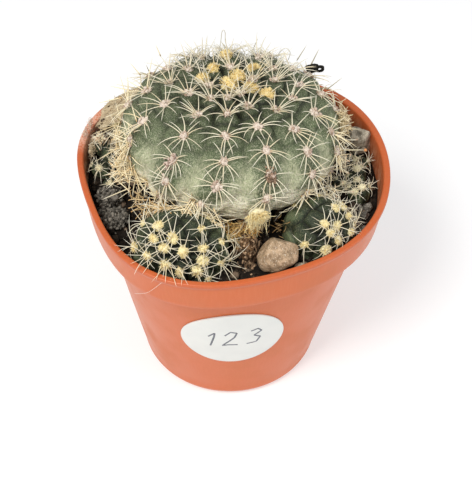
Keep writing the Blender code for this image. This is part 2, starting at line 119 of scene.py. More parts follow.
# %% A socket that can be added, multiplied and compared
class Wire:
    """The output socket of a node. An expression on wires adds its Math nodes."""

    def __init__(self, finish, socket):
        self.finish = finish
        self.socket = socket

    def maths(self, operation, *values):
        return self.finish.maths(operation, self, *values)

    def __add__(self, other):
        return self.maths("ADD", other)

    def __sub__(self, other):
        return self.maths("SUBTRACT", other)

    def __rsub__(self, other):
        return self.finish.maths("SUBTRACT", other, self)

    def __mul__(self, other):
        return self.maths("MULTIPLY", other)

    def clamped(self):
        return self.finish.maths("MINIMUM", self.maths("MAXIMUM", 0.0), 1.0)

    def rise(self, low, high):
        """0 below low, 1 above high, and a smooth rise between them."""
        settings = {"interpolation_type": "SMOOTHSTEP"}
        inputs = {"Value": self, "From Min": low, "From Max": high}
        return self.finish.wire("MapRange", settings, inputs)


# %% A material in the making
class Finish:
    """A material with a Principled BSDF. wire() adds a node and gives its output."""

    def __init__(self, name):
        self.material = bpy.data.materials.new(name)
        self.material.use_nodes = True
        self.tree = self.material.node_tree
        self.shader = self.tree.nodes["Principled BSDF"]

    def node(self, kind, settings=None, inputs=None):
        made = self.tree.nodes.new("ShaderNode" + kind)
        for name, value in (settings or {}).items():
            setattr(made, name, value)
        for name, value in (inputs or {}).items():
            self.feed(made.inputs[name], value)
        return made

    def wire(self, kind, settings=None, inputs=None, output=0):
        return Wire(self, self.node(kind, settings, inputs).outputs[output])

    def feed(self, socket, value):
        if isinstance(value, Wire):
            self.tree.links.new(value.socket, socket)
        else:
            socket.default_value = value

    def maths(self, operation, *values):
        return self.wire("Math", {"operation": operation}, dict(enumerate(values)))

    def place(self):
        return self.wire("TexCoord", output="Object")

    def axis(self, name):
        return self.wire("SeparateXYZ", None, {"Vector": self.place()}, output=name)

    def attribute(self, name):
        return self.wire("Attribute", {"attribute_name": name}, output="Fac")

    def noise(self, size, detail=3.0, roughness=0.55, stretch=(1.0, 1.0, 1.0)):
        """Soft noise whose blobs are about this size in metres, stretched along the axes."""
        scale = tuple(1.0 / (size * share) for share in stretch)
        mapped = self.wire("Mapping", None, {"Vector": self.place(), "Scale": scale})
        inputs = {"Vector": mapped, "Scale": 1.0, "Detail": detail, "Roughness": roughness}
        return self.wire("TexNoise", None, inputs)

    def cells(self, size):
        inputs = {"Vector": self.place(), "Scale": 1.0 / size}
        return self.wire("TexVoronoi", None, inputs, output="Distance")

    def mix(self, share, first, second):
        """The first colour where the share is 0, and the second where it is 1."""
        settings = {"data_type": "RGBA", "clamp_factor": True}
        inputs = {0: share, 6: first, 7: second}
        return self.wire("Mix", settings, inputs, output=2)

    def bump(self, height, depth, under=None):
        """A bump as deep as this in metres where the height runs from 0 to 1."""
        inputs = {"Height": height, "Distance": depth, "Strength": 1.0}
        if under is not None:
            inputs["Normal"] = under
        return self.wire("Bump", None, inputs)

    def surface(self, **inputs):
        """Feeds the shader's sockets, named with _ for each space, and gives the material."""
        for name, value in inputs.items():
            self.feed(self.shader.inputs[name.replace("_", " ")], value)
        return self.material


def tone(red, green, blue):
    """A colour as the eye names it, 0 to 255 in each channel, in the light that shaders use."""
    channels = []
    for value in (red, green, blue):
        share = value / 255.0
        channels.append(share / 12.92 if share <= 0.04045 else ((share + 0.055) / 1.055) ** 2.4)
    return (*channels, 1.0)


# %% [markdown]
# ## Light, floor and picture
#
# The photograph is a daylight picture cut out on white: soft light from above and a little from the
# front, with no hard shadow. A bright grey world gives most of it, and two wide area lamps give the
# pot's sheen and the spines' sparkle. A sky texture would do as well, but it tints the shadows blue.
# The Standard view keeps colours as plain and saturated as the photograph's.

# %% World, lamps and floor
scene = bpy.context.scene
scene.view_settings.view_transform = "Standard"
scene.view_settings.look = "None"
world = bpy.data.worlds.new("daylight")
world.use_nodes = True
world.node_tree.nodes["Background"].inputs["Color"].default_value = (0.97, 0.98, 1.0, 1.0)
world.node_tree.nodes["Background"].inputs["Strength"].default_value = 0.47
scene.world = world
LIT_POINT = Vector((0.0, 0.0, 0.03))


def area_lamp(name, place, size, watts, colour):
    """A soft square lamp that faces the middle of the pot."""
    lamp = bpy.data.lights.new(name, "AREA")
    lamp.size = size
    lamp.energy = watts
    lamp.color = colour
    made = bpy.data.objects.new(name, lamp)
    made.location = place
    made.rotation_euler = (LIT_POINT - made.location).to_track_quat("-Z", "Y").to_euler()
    bpy.context.scene.collection.objects.link(made)


area_lamp("window", Vector((-0.16, -0.22, 0.42)), 0.16, 1.6, (1.0, 0.98, 0.95))
area_lamp("fill", Vector((0.30, -0.12, 0.30)), 0.30, 0.5, (0.95, 0.97, 1.0))


def mesh_of(bm, name):
    """The bmesh as a mesh. The bmesh is freed."""
    mesh = bpy.data.meshes.new(name)
    bm.to_mesh(mesh)
    bm.free()
    return mesh


FLOOR_HALF = 3.0
floor_finish = Finish("pale_floor").surface(
    Base_Color=(0.62, 0.62, 0.62, 1.0),
    Roughness=0.8,
    Emission_Color=(0.99, 1.0, 1.0, 1.0),
    Emission_Strength=0.44,
)
bm = bmesh.new()
bmesh.ops.create_grid(bm, x_segments=1, y_segments=1, size=FLOOR_HALF)
floor_mesh = mesh_of(bm, "floor")
floor_mesh.materials.append(floor_finish)
floor = bpy.data.objects.new("floor", floor_mesh)
scene.collection.objects.link(floor)
floor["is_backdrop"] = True


# %% A piece on the one body
def add_piece(name, bm, finish, slot, replaces=()):
    """Makes the bmesh an object that rides on the plant's one body."""
    mesh = mesh_of(bm, name)
    mesh.shade_smooth()
    piece = bpy.data.objects.new(name, mesh)
    mesh.materials.append(finish)
    bpy.context.scene.collection.objects.link(piece)
    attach(piece, BODY)
    if replaces:
        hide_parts(*replaces)
    print(f"{name}: {sum(len(face.vertices) - 2 for face in mesh.polygons)} triangles")
    return piece


# %% [markdown]
# ## The pot
#
# The pot is one thin moulding: a tapered wall, a ledge, a nearly straight collar and a small square
# lip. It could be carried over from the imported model, but that one has forty flat sides, which show
# along the rim. So the same profile is spun again with many more steps and with its edges rounded.
# Handling has pushed the soft rim a little out of round, and a sum of a few lobes round the rim does
# the same here. The share fades to nothing at the stiff foot.

# %% Pot sizes
POT_HEIGHT = 50.5 * MM
LIP_RADIUS = 32.5 * MM
LIP_WIDTH = 1.45 * MM
LIP_HEIGHT = 1.0 * MM
LIP_OVERHANG = 0.4 * MM
COLLAR_HEIGHT = 8.15 * MM
COLLAR_FOOT_RADIUS = 31.2 * MM
BODY_TOP_RADIUS = 28.65 * MM
BODY_FOOT_RADIUS = 20.05 * MM
FOOT_ROUNDING = 2.5 * MM
WALL = 0.9 * MM
EDGE = 0.28 * MM
INNER_EDGE = 0.5 * MM
MUD_AND_SHADE_FROM = 2.2 * MM
BLOOM_CENTRE = Vector((-31.0, 13.6, 50.5)) * MM
POT_SIDES = 160
DRAIN_HOLES = 4
DRAIN_RADIUS = 2.5 * MM
DRAIN_CIRCLE = 10.0 * MM
LEDGE = POT_HEIGHT - COLLAR_HEIGHT

# Each row is a number of lobes, their share of the radius, and the angle of one in degrees from +X
RIM_LOBES = ((1, 0.055, 77.2), (2, 0.022, 17.7), (3, 0.033, 24.0), (4, 0.030, 57.7))


def clamp(value):
    return max(0.0, min(1.0, value))


def press(angle, height):
    """How far the wall is pressed out or in at this angle and height, as a share of the radius."""
    lobes = sum(share * math.cos(n * (angle - math.radians(turn))) for n, share, turn in RIM_LOBES)
    return 1.0 + lobes * height / POT_HEIGHT


def body_radius(height):
    rise = (height - FOOT_ROUNDING) / (LEDGE - FOOT_ROUNDING)
    return BODY_FOOT_RADIUS + (BODY_TOP_RADIUS - BODY_FOOT_RADIUS) * rise


def inner_radius(height):
    ledge = LEDGE + WALL
    if height < ledge:
        return body_radius(height) - WALL
    rise = (height - ledge) / (POT_HEIGHT - ledge)
    foot = COLLAR_FOOT_RADIUS - WALL
    return foot + (LIP_RADIUS - LIP_WIDTH - foot) * rise


# %% A turned and pressed shell
def arc(centre, radius, start, end, steps):
    """Points of an arc in the profile's plane, at angles in degrees from outwards."""
    turns = (math.radians(start + (end - start) * k / steps) for k in range(steps + 1))
    return [(centre[0] + radius * math.cos(t), centre[1] + radius * math.sin(t)) for t in turns]


def straight(start, end, steps):
    """Points between two ends, without the ends."""
    shares = (k / steps for k in range(1, steps))
    return [tuple(a + (b - a) * share for a, b in zip(start, end)) for share in shares]


def turned(profile, sides, marks=()):
    """A profile of (radius, height) points turned about Z.

    The marks are a number for each point of the profile, kept in the attribute inside.
    """
    bm = bmesh.new()
    inside = bm.verts.layers.float.new("inside") if marks else None
    points = [bm.verts.new((radius, 0.0, height)) for radius, height in profile]
    for point, mark in zip(points, marks):
        point[inside] = mark
    edges = [bm.edges.new(pair) for pair in zip(points, points[1:])]
    bmesh.ops.spin(
        bm,
        geom=points + edges,
        cent=(0.0, 0.0, 0.0),
        axis=(0.0, 0.0, 1.0),
        angle=math.tau,
        steps=sides,
        use_merge=True,
        use_duplicate=False,
    )
    bmesh.ops.remove_doubles(bm, verts=bm.verts, dist=0.001 * MM)
    return bm


def spun(profile, sides, marks=()):
    """A turned profile, pressed out of round as the pot is."""
    bm = turned(profile, sides, marks)
    for vert in bm.verts:
        share = press(math.atan2(vert.co.y, vert.co.x), vert.co.z)
        vert.co.x *= share
        vert.co.y *= share
    bmesh.ops.recalc_face_normals(bm, faces=bm.faces)
    return bm


# %% [markdown]
# The plastic is dyed right through and satin: its colour hardly changes, but the light does. Fine
# upright drag marks from the mould break up the gloss, long soft waves show in the reflections, and
# handling leaves faint dusty patches. The dye looks deeper where the wall is thick, at the lip, which
# has a pale bloom at the left, where old wool rubs on it. The inside is dull with dried mud and lime
# from a little below the lip, with painted shade in its dark patches, and has less of both at the
# right. A painted image could carry all this, but noise on the pot's own coordinates needs no
# unwrapping and stays sharp from near.

# %% Plastic finish
pot_finish = Finish("nursery_plastic")
lip_share = pot_finish.axis("Z").rise(POT_HEIGHT - 2.6 * MM, POT_HEIGHT - 0.6 * MM)
dust = pot_finish.noise(9.0 * MM, detail=5.0).rise(0.45, 0.75)
drag = pot_finish.noise(0.5 * MM, detail=2.0, stretch=(1.0, 1.0, 18.0))
speckle = pot_finish.noise(0.35 * MM, detail=2.0)
colour = pot_finish.mix(dust * 0.45, tone(204, 100, 44), tone(196, 112, 70))
colour = pot_finish.mix(lip_share * 0.55, colour, tone(190, 92, 50))
colour = pot_finish.mix(drag.rise(0.35, 0.8) * 0.10, colour, tone(226, 140, 100))
bloom_place = {0: pot_finish.place(), 1: BLOOM_CENTRE}
bloom = pot_finish.wire("VectorMath", {"operation": "DISTANCE"}, bloom_place, output="Value")
flecks = pot_finish.noise(0.5 * MM, detail=3.0).rise(0.32, 0.55)
bloom = (1.0 - bloom.rise(3.5 * MM, 8.5 * MM)) * flecks
colour = pot_finish.mix(bloom * 0.8, colour, tone(236, 190, 166))
# Mud, lime and painted shade on the inner wall: noise picks a dark or a pale tone, which is mixed in more
# below the lip and less at the right.
mud_and_shade_noise = pot_finish.noise(1.6 * MM, detail=5.0, roughness=0.65)
mud_and_shade_colour = pot_finish.mix(mud_and_shade_noise.rise(0.35, 0.65), tone(84, 58, 42), tone(190, 156, 128))
less_at_right = 1.0 - pot_finish.axis("X").rise(6.0 * MM, 26.0 * MM) * 0.5
mud_and_shade = (pot_finish.attribute("inside") * (mud_and_shade_noise * 0.5 + 0.6) * less_at_right).clamped()
colour = pot_finish.mix(mud_and_shade, colour, mud_and_shade_colour)
wall_bump = pot_finish.bump(drag * 0.6 + speckle * 0.4, 0.03 * MM)
wall_bump = pot_finish.bump(pot_finish.noise(14.0 * MM, detail=1.0), 0.5 * MM, wall_bump)
plastic = pot_finish.surface(
    Base_Color=colour,
    Roughness=(dust * 0.16 + drag * 0.1 + 0.30 + mud_and_shade * 0.5).clamped(),
    Normal=wall_bump,
    Specular_IOR_Level=0.45,
    Subsurface_Weight=0.12,
    Subsurface_Radius=(1.0, 0.35, 0.15),
    Subsurface_Scale=1.2 * MM,
)

# %% Pot
lip_foot = POT_HEIGHT - LIP_HEIGHT
foot_centre = (BODY_FOOT_RADIUS - FOOT_ROUNDING, FOOT_ROUNDING)
ledge_corner = (COLLAR_FOOT_RADIUS, LEDGE)
under_lip = (LIP_RADIUS - LIP_OVERHANG, lip_foot)
outside = [(0.0, 0.0), *straight((0.0, 0.0), (foot_centre[0], 0.0), 5)]
outside += arc(foot_centre, FOOT_ROUNDING, -90.0, 0.0, 10)
outside += straight(outside[-1], (BODY_TOP_RADIUS, LEDGE), 14)
outside += [(BODY_TOP_RADIUS, LEDGE - EDGE), (BODY_TOP_RADIUS + EDGE, LEDGE)]
outside += [(ledge_corner[0] - EDGE, LEDGE), (ledge_corner[0] - 0.3 * EDGE, LEDGE + 0.3 * EDGE)]
outside += [(ledge_corner[0], LEDGE + EDGE)]
outside += straight(outside[-1], under_lip, 8)
outside += [(under_lip[0], lip_foot - 0.5 * EDGE), (under_lip[0] + 0.5 * EDGE, lip_foot)]
outside += arc((LIP_RADIUS - EDGE, lip_foot + EDGE), EDGE, -90.0, 0.0, 4)
outside += arc((LIP_RADIUS - EDGE, POT_HEIGHT - EDGE), EDGE, 0.0, 90.0, 5)
lip_inside = LIP_RADIUS - LIP_WIDTH
inside = arc((lip_inside + INNER_EDGE, POT_HEIGHT - INNER_EDGE), INNER_EDGE, 90.0, 180.0, 7)
inside += straight(inside[-1], (inner_radius(LEDGE + WALL), LEDGE + WALL), 6)
inside += [(inner_radius(LEDGE + WALL), LEDGE + WALL), (body_radius(LEDGE + WALL) - WALL, LEDGE + WALL)]
inside += straight(inside[-1], (foot_centre[0] + FOOT_ROUNDING - WALL, FOOT_ROUNDING), 6)
inside += arc(foot_centre, FOOT_ROUNDING - WALL, 0.0, -90.0, 4)
inside += [(0.0, WALL)]
# The marks ramp up below the lip and set how much mud, lime and painted shade the inner wall gets.
marks = [0.0] * len(outside)
marks += [clamp((POT_HEIGHT - 0.4 * MM - height) / MUD_AND_SHADE_FROM) for _, height in inside]
pot = add_piece("pot_moulding", spun(outside + inside, POT_SIDES, marks), plastic, "pot", ["pot"])

# %% [markdown]
# The drain holes are plain round holes through the foot. Its faces are thin wedges, so holes made by
# an inset would need new ones first. One Boolean against four cylinders needs no such faces.

# %% Drain holes
bm = bmesh.new()
for k in range(DRAIN_HOLES):
    angle = math.tau * (k + 0.5) / DRAIN_HOLES
    place = Vector((math.cos(angle), math.sin(angle), 0.0)) * DRAIN_CIRCLE
    bmesh.ops.create_cone(
        bm,
        cap_ends=True,
        segments=32,
        radius1=DRAIN_RADIUS,
        radius2=DRAIN_RADIUS,
        depth=4.0 * WALL,
        matrix=Matrix.Translation(place),
    )
cutter = bpy.data.objects.new("drain_cutter", mesh_of(bm, "drain_cutter"))
bpy.context.scene.collection.objects.link(cutter)
cut = pot.modifiers.new("drain holes", "BOOLEAN")
cut.operation = "DIFFERENCE"
cut.object = cutter
cut.solver = "EXACT"
graph = bpy.context.evaluated_depsgraph_get()
holed = bpy.data.meshes.new_from_object(pot.evaluated_get(graph))
pot.modifiers.clear()
pot.data = holed
bpy.data.objects.remove(cutter, do_unlink=True)
pot.data.set_sharp_from_angle(angle=math.radians(40.0))

# %% [markdown]
# ## The label
#
# A round paper sticker follows the wall that it is stuck on. It is modelled flat, as a turned disc
# with a rounded edge, and every point is then wrapped onto the tapered, pressed wall, where it looks
# a little wider than tall. A Shrinkwrap modifier could wrap it too, but the wall is a known formula,
# which leaves no gaps. The digits are generic, drawn with a thin pen: each stroke is a curve with a
# round section, made a mesh and wrapped the same way, almost flat.

# %% Label sizes and the wrap
LABEL_RADIUS = 10.9 * MM
LABEL_WIDE = 1.04
LABEL_TALL = 0.92
LABEL_THICKNESS = 0.3 * MM
LABEL_HEIGHT = 26.4 * MM
LABEL_SHIFT = 1.1 * MM
LABEL_GAP = 0.05 * MM
WALL_SLOPE = math.atan2(BODY_TOP_RADIUS - BODY_FOOT_RADIUS, LEDGE - FOOT_ROUNDING)


def on_wall(across, up, out):
    """The point this far across and up from the label's centre, and this far off the wall."""
    height = LABEL_HEIGHT + up * math.cos(WALL_SLOPE)
    radius = body_radius(height)
    angle = -math.pi / 2 + (LABEL_SHIFT + across) / radius
    reach = radius * press(angle, height) + out / math.cos(WALL_SLOPE)
    return Vector((reach * math.cos(angle), reach * math.sin(angle), height))


paper = Finish("label_paper")
fibre = paper.noise(0.25 * MM, detail=4.0)
shade = paper.mix(paper.noise(6.0 * MM).rise(0.3, 0.8) * 0.5, tone(228, 229, 224), tone(216, 218, 214))
paper_finish = paper.surface(
    Base_Color=shade,
    Roughness=fibre * 0.2 + 0.38,
    Normal=paper.bump(fibre, 0.02 * MM),
    Specular_IOR_Level=0.4,
)

# %% Label
LABEL_RINGS = 12
LABEL_SIDES = 96
lip = 0.1 * MM
top = LABEL_THICKNESS
profile = [(LABEL_RADIUS * k / LABEL_RINGS, 0.0) for k in range(LABEL_RINGS + 1)]
profile += [(LABEL_RADIUS, top - lip), (LABEL_RADIUS - 0.3 * lip, top - 0.3 * lip)]
profile += [((LABEL_RADIUS - lip) * k / LABEL_RINGS, top) for k in range(LABEL_RINGS, -1, -1)]
bm = turned(profile, LABEL_SIDES)
for vert in bm.verts:
    vert.co = on_wall(vert.co.x * LABEL_WIDE, vert.co.y * LABEL_TALL, LABEL_GAP + vert.co.z)
bmesh.ops.recalc_face_normals(bm, faces=bm.faces)
label = add_piece("label_sticker", bm, paper_finish, "label", ["label"])
label.data.set_sharp_from_angle(angle=math.radians(50.0))

# %% Digits drawn with a pen
PEN_WIDTH = 0.42 * MM
DIGIT_SLANT = 0.16
DIGIT_SHIFT = -0.3
DIGIT_SIZE = 1.22
ink = Finish("pen_ink")
ink_finish = ink.surface(
    Base_Color=ink.mix(ink.noise(0.6 * MM).rise(0.3, 0.7), tone(84, 88, 96), tone(120, 124, 132)),
    Roughness=0.5,
)

# Each stroke is the points of a smooth line in millimetres: across and up from the digit's foot
PEN_STROKES = (
    (-4.6, ((0.0, 3.3), (0.9, 4.6), (1.0, 3.2), (0.9, 0.0))),
    (-1.9, ((0.1, 3.6), (0.9, 4.8), (2.1, 4.3), (1.9, 2.8), (0.2, 0.1), (1.2, 0.35), (2.9, 0.2))),
    (2.4, ((0.3, 4.4), (1.5, 4.9), (2.3, 4.0), (1.1, 2.8), (2.4, 2.0), (1.9, 0.4), (0.2, 0.2))),
)
DIGIT_FOOT = -2.6 * MM
digits = bmesh.new()
for start, stroke in PEN_STROKES:
    curve = bpy.data.curves.new("stroke", "CURVE")
    curve.dimensions = "3D"
    curve.bevel_depth = 0.5 * PEN_WIDTH
    curve.bevel_resolution = 2
    curve.use_fill_caps = True
    line = curve.splines.new("NURBS")
    line.order_u = 3
    line.resolution_u = 6
    line.use_endpoint_u = True
    line.points.add(len(stroke) - 1)
    for point, (across, up) in zip(line.points, stroke):
        across = (start + across + DIGIT_SLANT * up + DIGIT_SHIFT) * DIGIT_SIZE * MM
        point.co = (across, DIGIT_FOOT + up * DIGIT_SIZE * MM, 0.0, 1.0)
    holder = bpy.data.objects.new("stroke", curve)
    mesh = bpy.data.meshes.new_from_object(holder)
    digits.from_mesh(mesh)
    bpy.data.objects.remove(holder)
    bpy.data.meshes.remove(mesh)
INK_LIFT = LABEL_GAP + LABEL_THICKNESS
INK_FLATNESS = 0.12
for vert in digits.verts:
    vert.co = on_wall(vert.co.x, vert.co.y, INK_LIFT + vert.co.z * INK_FLATNESS)
bmesh.ops.recalc_face_normals(digits, faces=digits.faces)
add_piece("label_digits", digits, ink_finish, "label")

# %% [markdown]
# ## The forms of the plant
#
# Each stem is a rounded form, leaning on its own axis. An ellipsoid is too thin at the shoulders for
# it, so the power in its formula is raised a little from 2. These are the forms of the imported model,
# so the finer pieces stay where its nodes are. Azimuth is measured round the stem's axis from its own
# -Y side, and the polar angle down from its crown.

# %% Forms
FULLNESS = 2.3


@dataclass
class Form:
    """A closed rounded form: its half sizes in millimetres, and its pose."""

    name: str
    centre: tuple
    half_sizes: tuple
    axis: tuple = (0.0, 0.0, 1.0)

    def __post_init__(self):
        self.inverse = self.matrix().inverted()

    def matrix(self):
        along = Vector(self.axis).normalized()
        across = Vector((0.0, 1.0, 0.0)).cross(along)
        if across.length < 0.2:
            across = Vector((1.0, 0.0, 0.0))
        across = (across - along * across.dot(along)).normalized()
        turn = Matrix((across, along.cross(across), along)).transposed()
        return Matrix.Translation(Vector(self.centre) * MM) @ turn.to_4x4()

    def point(self, azimuth, polar, size=1.0):
        """The surface point at these angles in radians, in the form's own frame."""
        out, up = math.sin(polar), math.cos(polar)
        reach = (abs(out) ** FULLNESS + abs(up) ** FULLNESS) ** (-1.0 / FULLNESS) * size * MM
        a, b, c = self.half_sizes
        flat = out * reach
        return Vector((a * flat * math.sin(azimuth), -b * flat * math.cos(azimuth), c * up * reach))

    def holds(self, place, margin):
        """Whether this point of the world is inside the form, grown by the margin."""
        local = self.inverse @ place
        a, b, c = (half * MM + margin for half in self.half_sizes)
        out = math.hypot(local.x / a, local.y / b)
        return out**FULLNESS + abs(local.z / c) ** FULLNESS < 1.0


# %% [markdown]
# ## Copies of small shapes
#
# Crumbs, hairs and spines are one small shape repeated hundreds of times. Particles would scatter
# them, but an export drops particles. So a template mesh is made once, from an icosphere or a circle,
# and read into a bmesh again for each copy, whose points are then moved to their place. The copies
# are gathered in batches, because a large bmesh is slow to add to. Each copy also keeps a random
# number of its own, its tint, which its material reads.


# %% Copies
BATCH = 40


def template_of(bm, name):
    """Stores the bmesh as a mesh with the two attributes that the copies carry."""
    along = bm.verts.layers.float.new("along")
    bm.verts.layers.float.new("tint")
    for vert in bm.verts:
        vert[along] = clamp(vert.co.z)
    return mesh_of(bm, name)


def pour(part, whole):
    """Adds a bmesh to another one, and frees it."""
    mesh = mesh_of(part, "part")
    whole.from_mesh(mesh)
    bpy.data.meshes.remove(mesh)


def copies(template, placings):
    """A bmesh with a copy of the template for each placing: a function for its points, and a tint."""
    whole = bmesh.new()
    for first in range(0, len(placings), BATCH):
        part = bmesh.new()
        for place, tint in placings[first : first + BATCH]:
            before = len(part.verts)
            part.from_mesh(template)
            part.verts.ensure_lookup_table()
            tints = part.verts.layers.float["tint"]
            for vert in part.verts[before:]:
                vert.co = place(vert.co)
                vert[tints] = tint
        pour(part, whole)
    return whole


def add_copies(name, template, placings, finish, slot="stem_main"):
    add_piece(name, copies(template, placings), finish, slot)


def ball(name, levels):
    """An icosphere as a template for grains, lumps and cushions."""
    bm = bmesh.new()
    bmesh.ops.create_icosphere(bm, subdivisions=levels, radius=1.0)
    return template_of(bm, name)


small_ball = ball("small_ball", 1)
large_ball = ball("large_ball", 2)
print("faces of the balls:", len(small_ball.polygons), len(large_ball.polygons))

# %% [markdown]
# ## Potting mix
#
# The mix is dark, coarse and dry on top. The body of it is one turned plug that fills the pot, and
# its top is raised and dented by two sizes of noise. Displaced further it would look like cloth: what
# makes it soil is the loose crumb on it, so several hundred rough grains of many sizes lie half sunk
# in the surface. A few are paler grit, and near the front of the big stem some are golden-brown dust
# from old roots.

# %% Soil sizes and finish
SOIL_LEVEL = 45.4 * MM
SOIL_BUMPS = 0.4 * MM
SOIL_BUMP_SPREAD = 5.0 * MM
SOIL_FALL = 0.6 * MM
SOIL_GAP = 0.6 * MM
SOIL_EDGE_GAP = 0.05 * MM
FINE_BUMPS = 0.35 * MM
FINE_SPREAD = 1.3 * MM


def soil_height(x, y):
    """The level of the packed soil at this place."""
    bump = noise.noise(Vector((x, y, 0.0)) / SOIL_BUMP_SPREAD)
    fall = (math.hypot(x, y) / LIP_RADIUS) ** 2
    return SOIL_LEVEL + SOIL_BUMPS * bump - SOIL_FALL * fall


def earth(name, dark, light):
    """Loose matt grains: each is nearer the dark or the light tone by its tint."""
    finish = Finish(name)
    grain = finish.noise(0.5 * MM, detail=6.0, roughness=0.7)
    lumps = finish.noise(2.5 * MM, detail=3.0)
    tint = finish.attribute("tint")
    share = (grain * 0.5 + lumps * 0.3 + tint * 0.5).rise(0.35, 1.1)
    return finish.surface(
        Base_Color=finish.mix(share, tone(*dark), tone(*light)),
        Roughness=0.92,
        Normal=finish.bump(grain, 0.25 * MM),
        Specular_IOR_Level=0.25,
    )


soil_finish = earth("potting_mix", (24, 18, 13), (156, 134, 112))
dust_finish = earth("golden_dust", (222, 156, 68), (255, 246, 196))
bark_dust_finish = earth("bark_dust", (60, 40, 24), (228, 192, 154))
grit_finish = earth("dark_grit", (46, 42, 36), (156, 150, 138))

# %% Soil plug
SOIL_RINGS = 44
SOIL_SIDES = 144
ledge = LEDGE + WALL + 0.3 * MM
edge = inner_radius(SOIL_LEVEL) - SOIL_EDGE_GAP
profile = [(0.0, WALL + SOIL_GAP)]
profile += arc(foot_centre, FOOT_ROUNDING - WALL - SOIL_GAP, -90.0, 0.0, 3)
profile += [(body_radius(ledge) - WALL - SOIL_GAP, ledge), (inner_radius(ledge) - 0.3 * MM, ledge)]
profile += [(edge * (1.0 - k / SOIL_RINGS), SOIL_LEVEL) for k in range(SOIL_RINGS + 1)]
bm = spun(profile, SOIL_SIDES)
for vert in bm.verts:
    if vert.co.z > SOIL_LEVEL - 0.01 * MM:
        fine = noise.noise(vert.co / FINE_SPREAD) * FINE_BUMPS
        vert.co.z = soil_height(vert.co.x, vert.co.y) + fine
add_piece("soil_plug", bm, soil_finish, "soil", ["soil"])

# %% [markdown]
# ## Stems, stones and where they are
#
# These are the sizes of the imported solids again, with the stones a little corrected. Each rib is its
# azimuth in degrees, with how far its first areole is shifted down and how far the rib leans aside at
# its foot, because on the real plant neighbouring ribs alternate and no two are alike. The pads are
# the young woolly areoles round each crown, by azimuth and polar angle. A rule could spread them, but
# they catch the eye, so they are placed one by one from the photograph, and keep the regular areoles
# at a distance.


# %% Stems
@dataclass
class Stem:
    """Where a stem's areoles stand, in degrees, and how its skin swells, in millimetres.

    Down a rib the steps between areoles grow. The relief is the depth of the ribs as a share, and
    the creases between tubercles fade towards the angle smooth_from. The foot is tucked in.
    """

    form: Form
    ribs: tuple
    pads: tuple
    pad_radius: float
    pad_room: float
    tubercle_depth: float
    tubercle_width: float
    first_areole: float
    areole_step: float = 22.0
    areole_growth: float = 1.5
    last_areole: float = 100.0
    relief: float = 0.03
    smooth_from: float = 150.0
    tuck: float = 0.0


MAIN_STEM = Stem(
    form=Form("stem_main", (-0.2, 6.4, 56.0), (23.0, 22.7, 13.5), (0.0, 0.13, 0.99)),
    ribs=(
        (-93, 0.0, 0), (-65, 0.4, -3), (-31, 0.0, -6), (-3, 0.7, -13), (22, 0.4, -5),
        (46, 0.0, -1), (71, 0.1, 0), (97, 0.3, 0), (125, 0.6, 0), (154, 0.1, 0),
        (182, 0.5, 0), (210, 0.0, 0), (239, 0.6, 0),
    ),
    first_areole=9.0,
    areole_step=9.5,
    areole_growth=1.1,
    last_areole=108.0,
    relief=0.095,
    pad_radius=1.45,
    tubercle_depth=1.5,
    tubercle_width=2.3,
    smooth_from=78.0,
    pads=((-95, 15), (-141, 15), (-174, 27), (139, 19), (144, 5), (57, 12), (60, 22), (-19, 4)),
    pad_room=2.7,
    tuck=0.03,
)

# %% Offsets
FRONT_LEFT = Stem(
    form=Form("offset_front_left", (-9.7, -18.4, 47.2), (9.8, 8.7, 8.0), (0.07, -0.77, 0.63)),
    ribs=(
        (-14, -0.1, 0), (20, 0.6, 0), (47, 0.2, 0), (80, 0.3, 0), (113, 0.4, 0),
        (150, 0.9, 0), (205, 0.35, 0), (236, 0.1, 0), (266, 0.2, 0), (296, 0.1, 0),
    ),
    first_areole=20.0,
    pad_radius=1.0,
    tubercle_depth=1.35,
    tubercle_width=1.8,
    pads=(
        (-138, 47), (-117, 38), (-150, 24), (169, 5), (-108, 22), (-81, 41), (-91, 63),
        (-50, 23), (-3, 23), (44, 27), (115, 26), (78, 25),
    ),
    pad_room=2.3,
)
FRONT_RIGHT = Stem(
    form=Form("offset_front_right", (18.0, -12.5, 46.8), (7.4, 7.0, 6.5), (0.45, -0.61, 0.66)),
    ribs=(
        (8, 0.0, 0), (48, 0.5, 0), (88, 0.0, 0), (128, 0.5, 0), (168, 0.0, 0),
        (208, 0.5, 0), (248, 3.0, 0), (288, 3.5, 0), (328, 0.0, 0),
    ),
    first_areole=14.0,
    pad_radius=0.88,
    tubercle_depth=1.0,
    tubercle_width=1.6,
    pads=(
        (-100, 21), (-39, 54), (-1, 34), (44, 16), (-44, 9), (-178, 10), (154, 40),
        (172, 52), (112, 32), (-166, 40),
    ),
    pad_room=2.2,
)


def small_offset(name, centre, half_width, pads):
    """A small round offset with five ribs, the first of them under its first pad."""
    return Stem(
        form=Form(name, centre, (half_width, half_width, half_width * 0.95)),
        ribs=tuple((pads[0][0] + 360.0 * k / 5, 0.5 * (k % 2), 0) for k in range(5)),
        first_areole=62.0,
        areole_step=90.0,
        areole_growth=0.0,
        last_areole=80.0,
        relief=0.08,
        pad_radius=0.8,
        tubercle_depth=0.35,
        tubercle_width=1.0,
        smooth_from=200.0,
        pads=pads,
        pad_room=1.6,
    )


SMALL_OFFSETS = (
    small_offset("offset_right_1", (26.9, -0.9, 46.3), 2.4, ((-37, 43), (35, 18))),
    small_offset("offset_right_2", (26.6, 4.1, 46.5), 2.2, ((0, 66), (-131, 4))),
    small_offset("offset_right_3", (27.6, 8.3, 46.1), 1.8, ((-60, 35),)),
    small_offset("offset_right_4", (22.8, 1.6, 45.9), 1.4, ((62, 39),)),
    small_offset("offset_left_1", (-27.3, 10.5, 47.4), 2.2, ((-95, 22),)),
    small_offset("offset_left_2", (-27.5, 5.3, 46.4), 2.3, ((-14, 43),)),
    small_offset("offset_left_3", (-25.5, 1.0, 46.0), 1.6, ((9, 43),)),
)
STEMS = (MAIN_STEM, FRONT_LEFT, FRONT_RIGHT, *SMALL_OFFSETS)


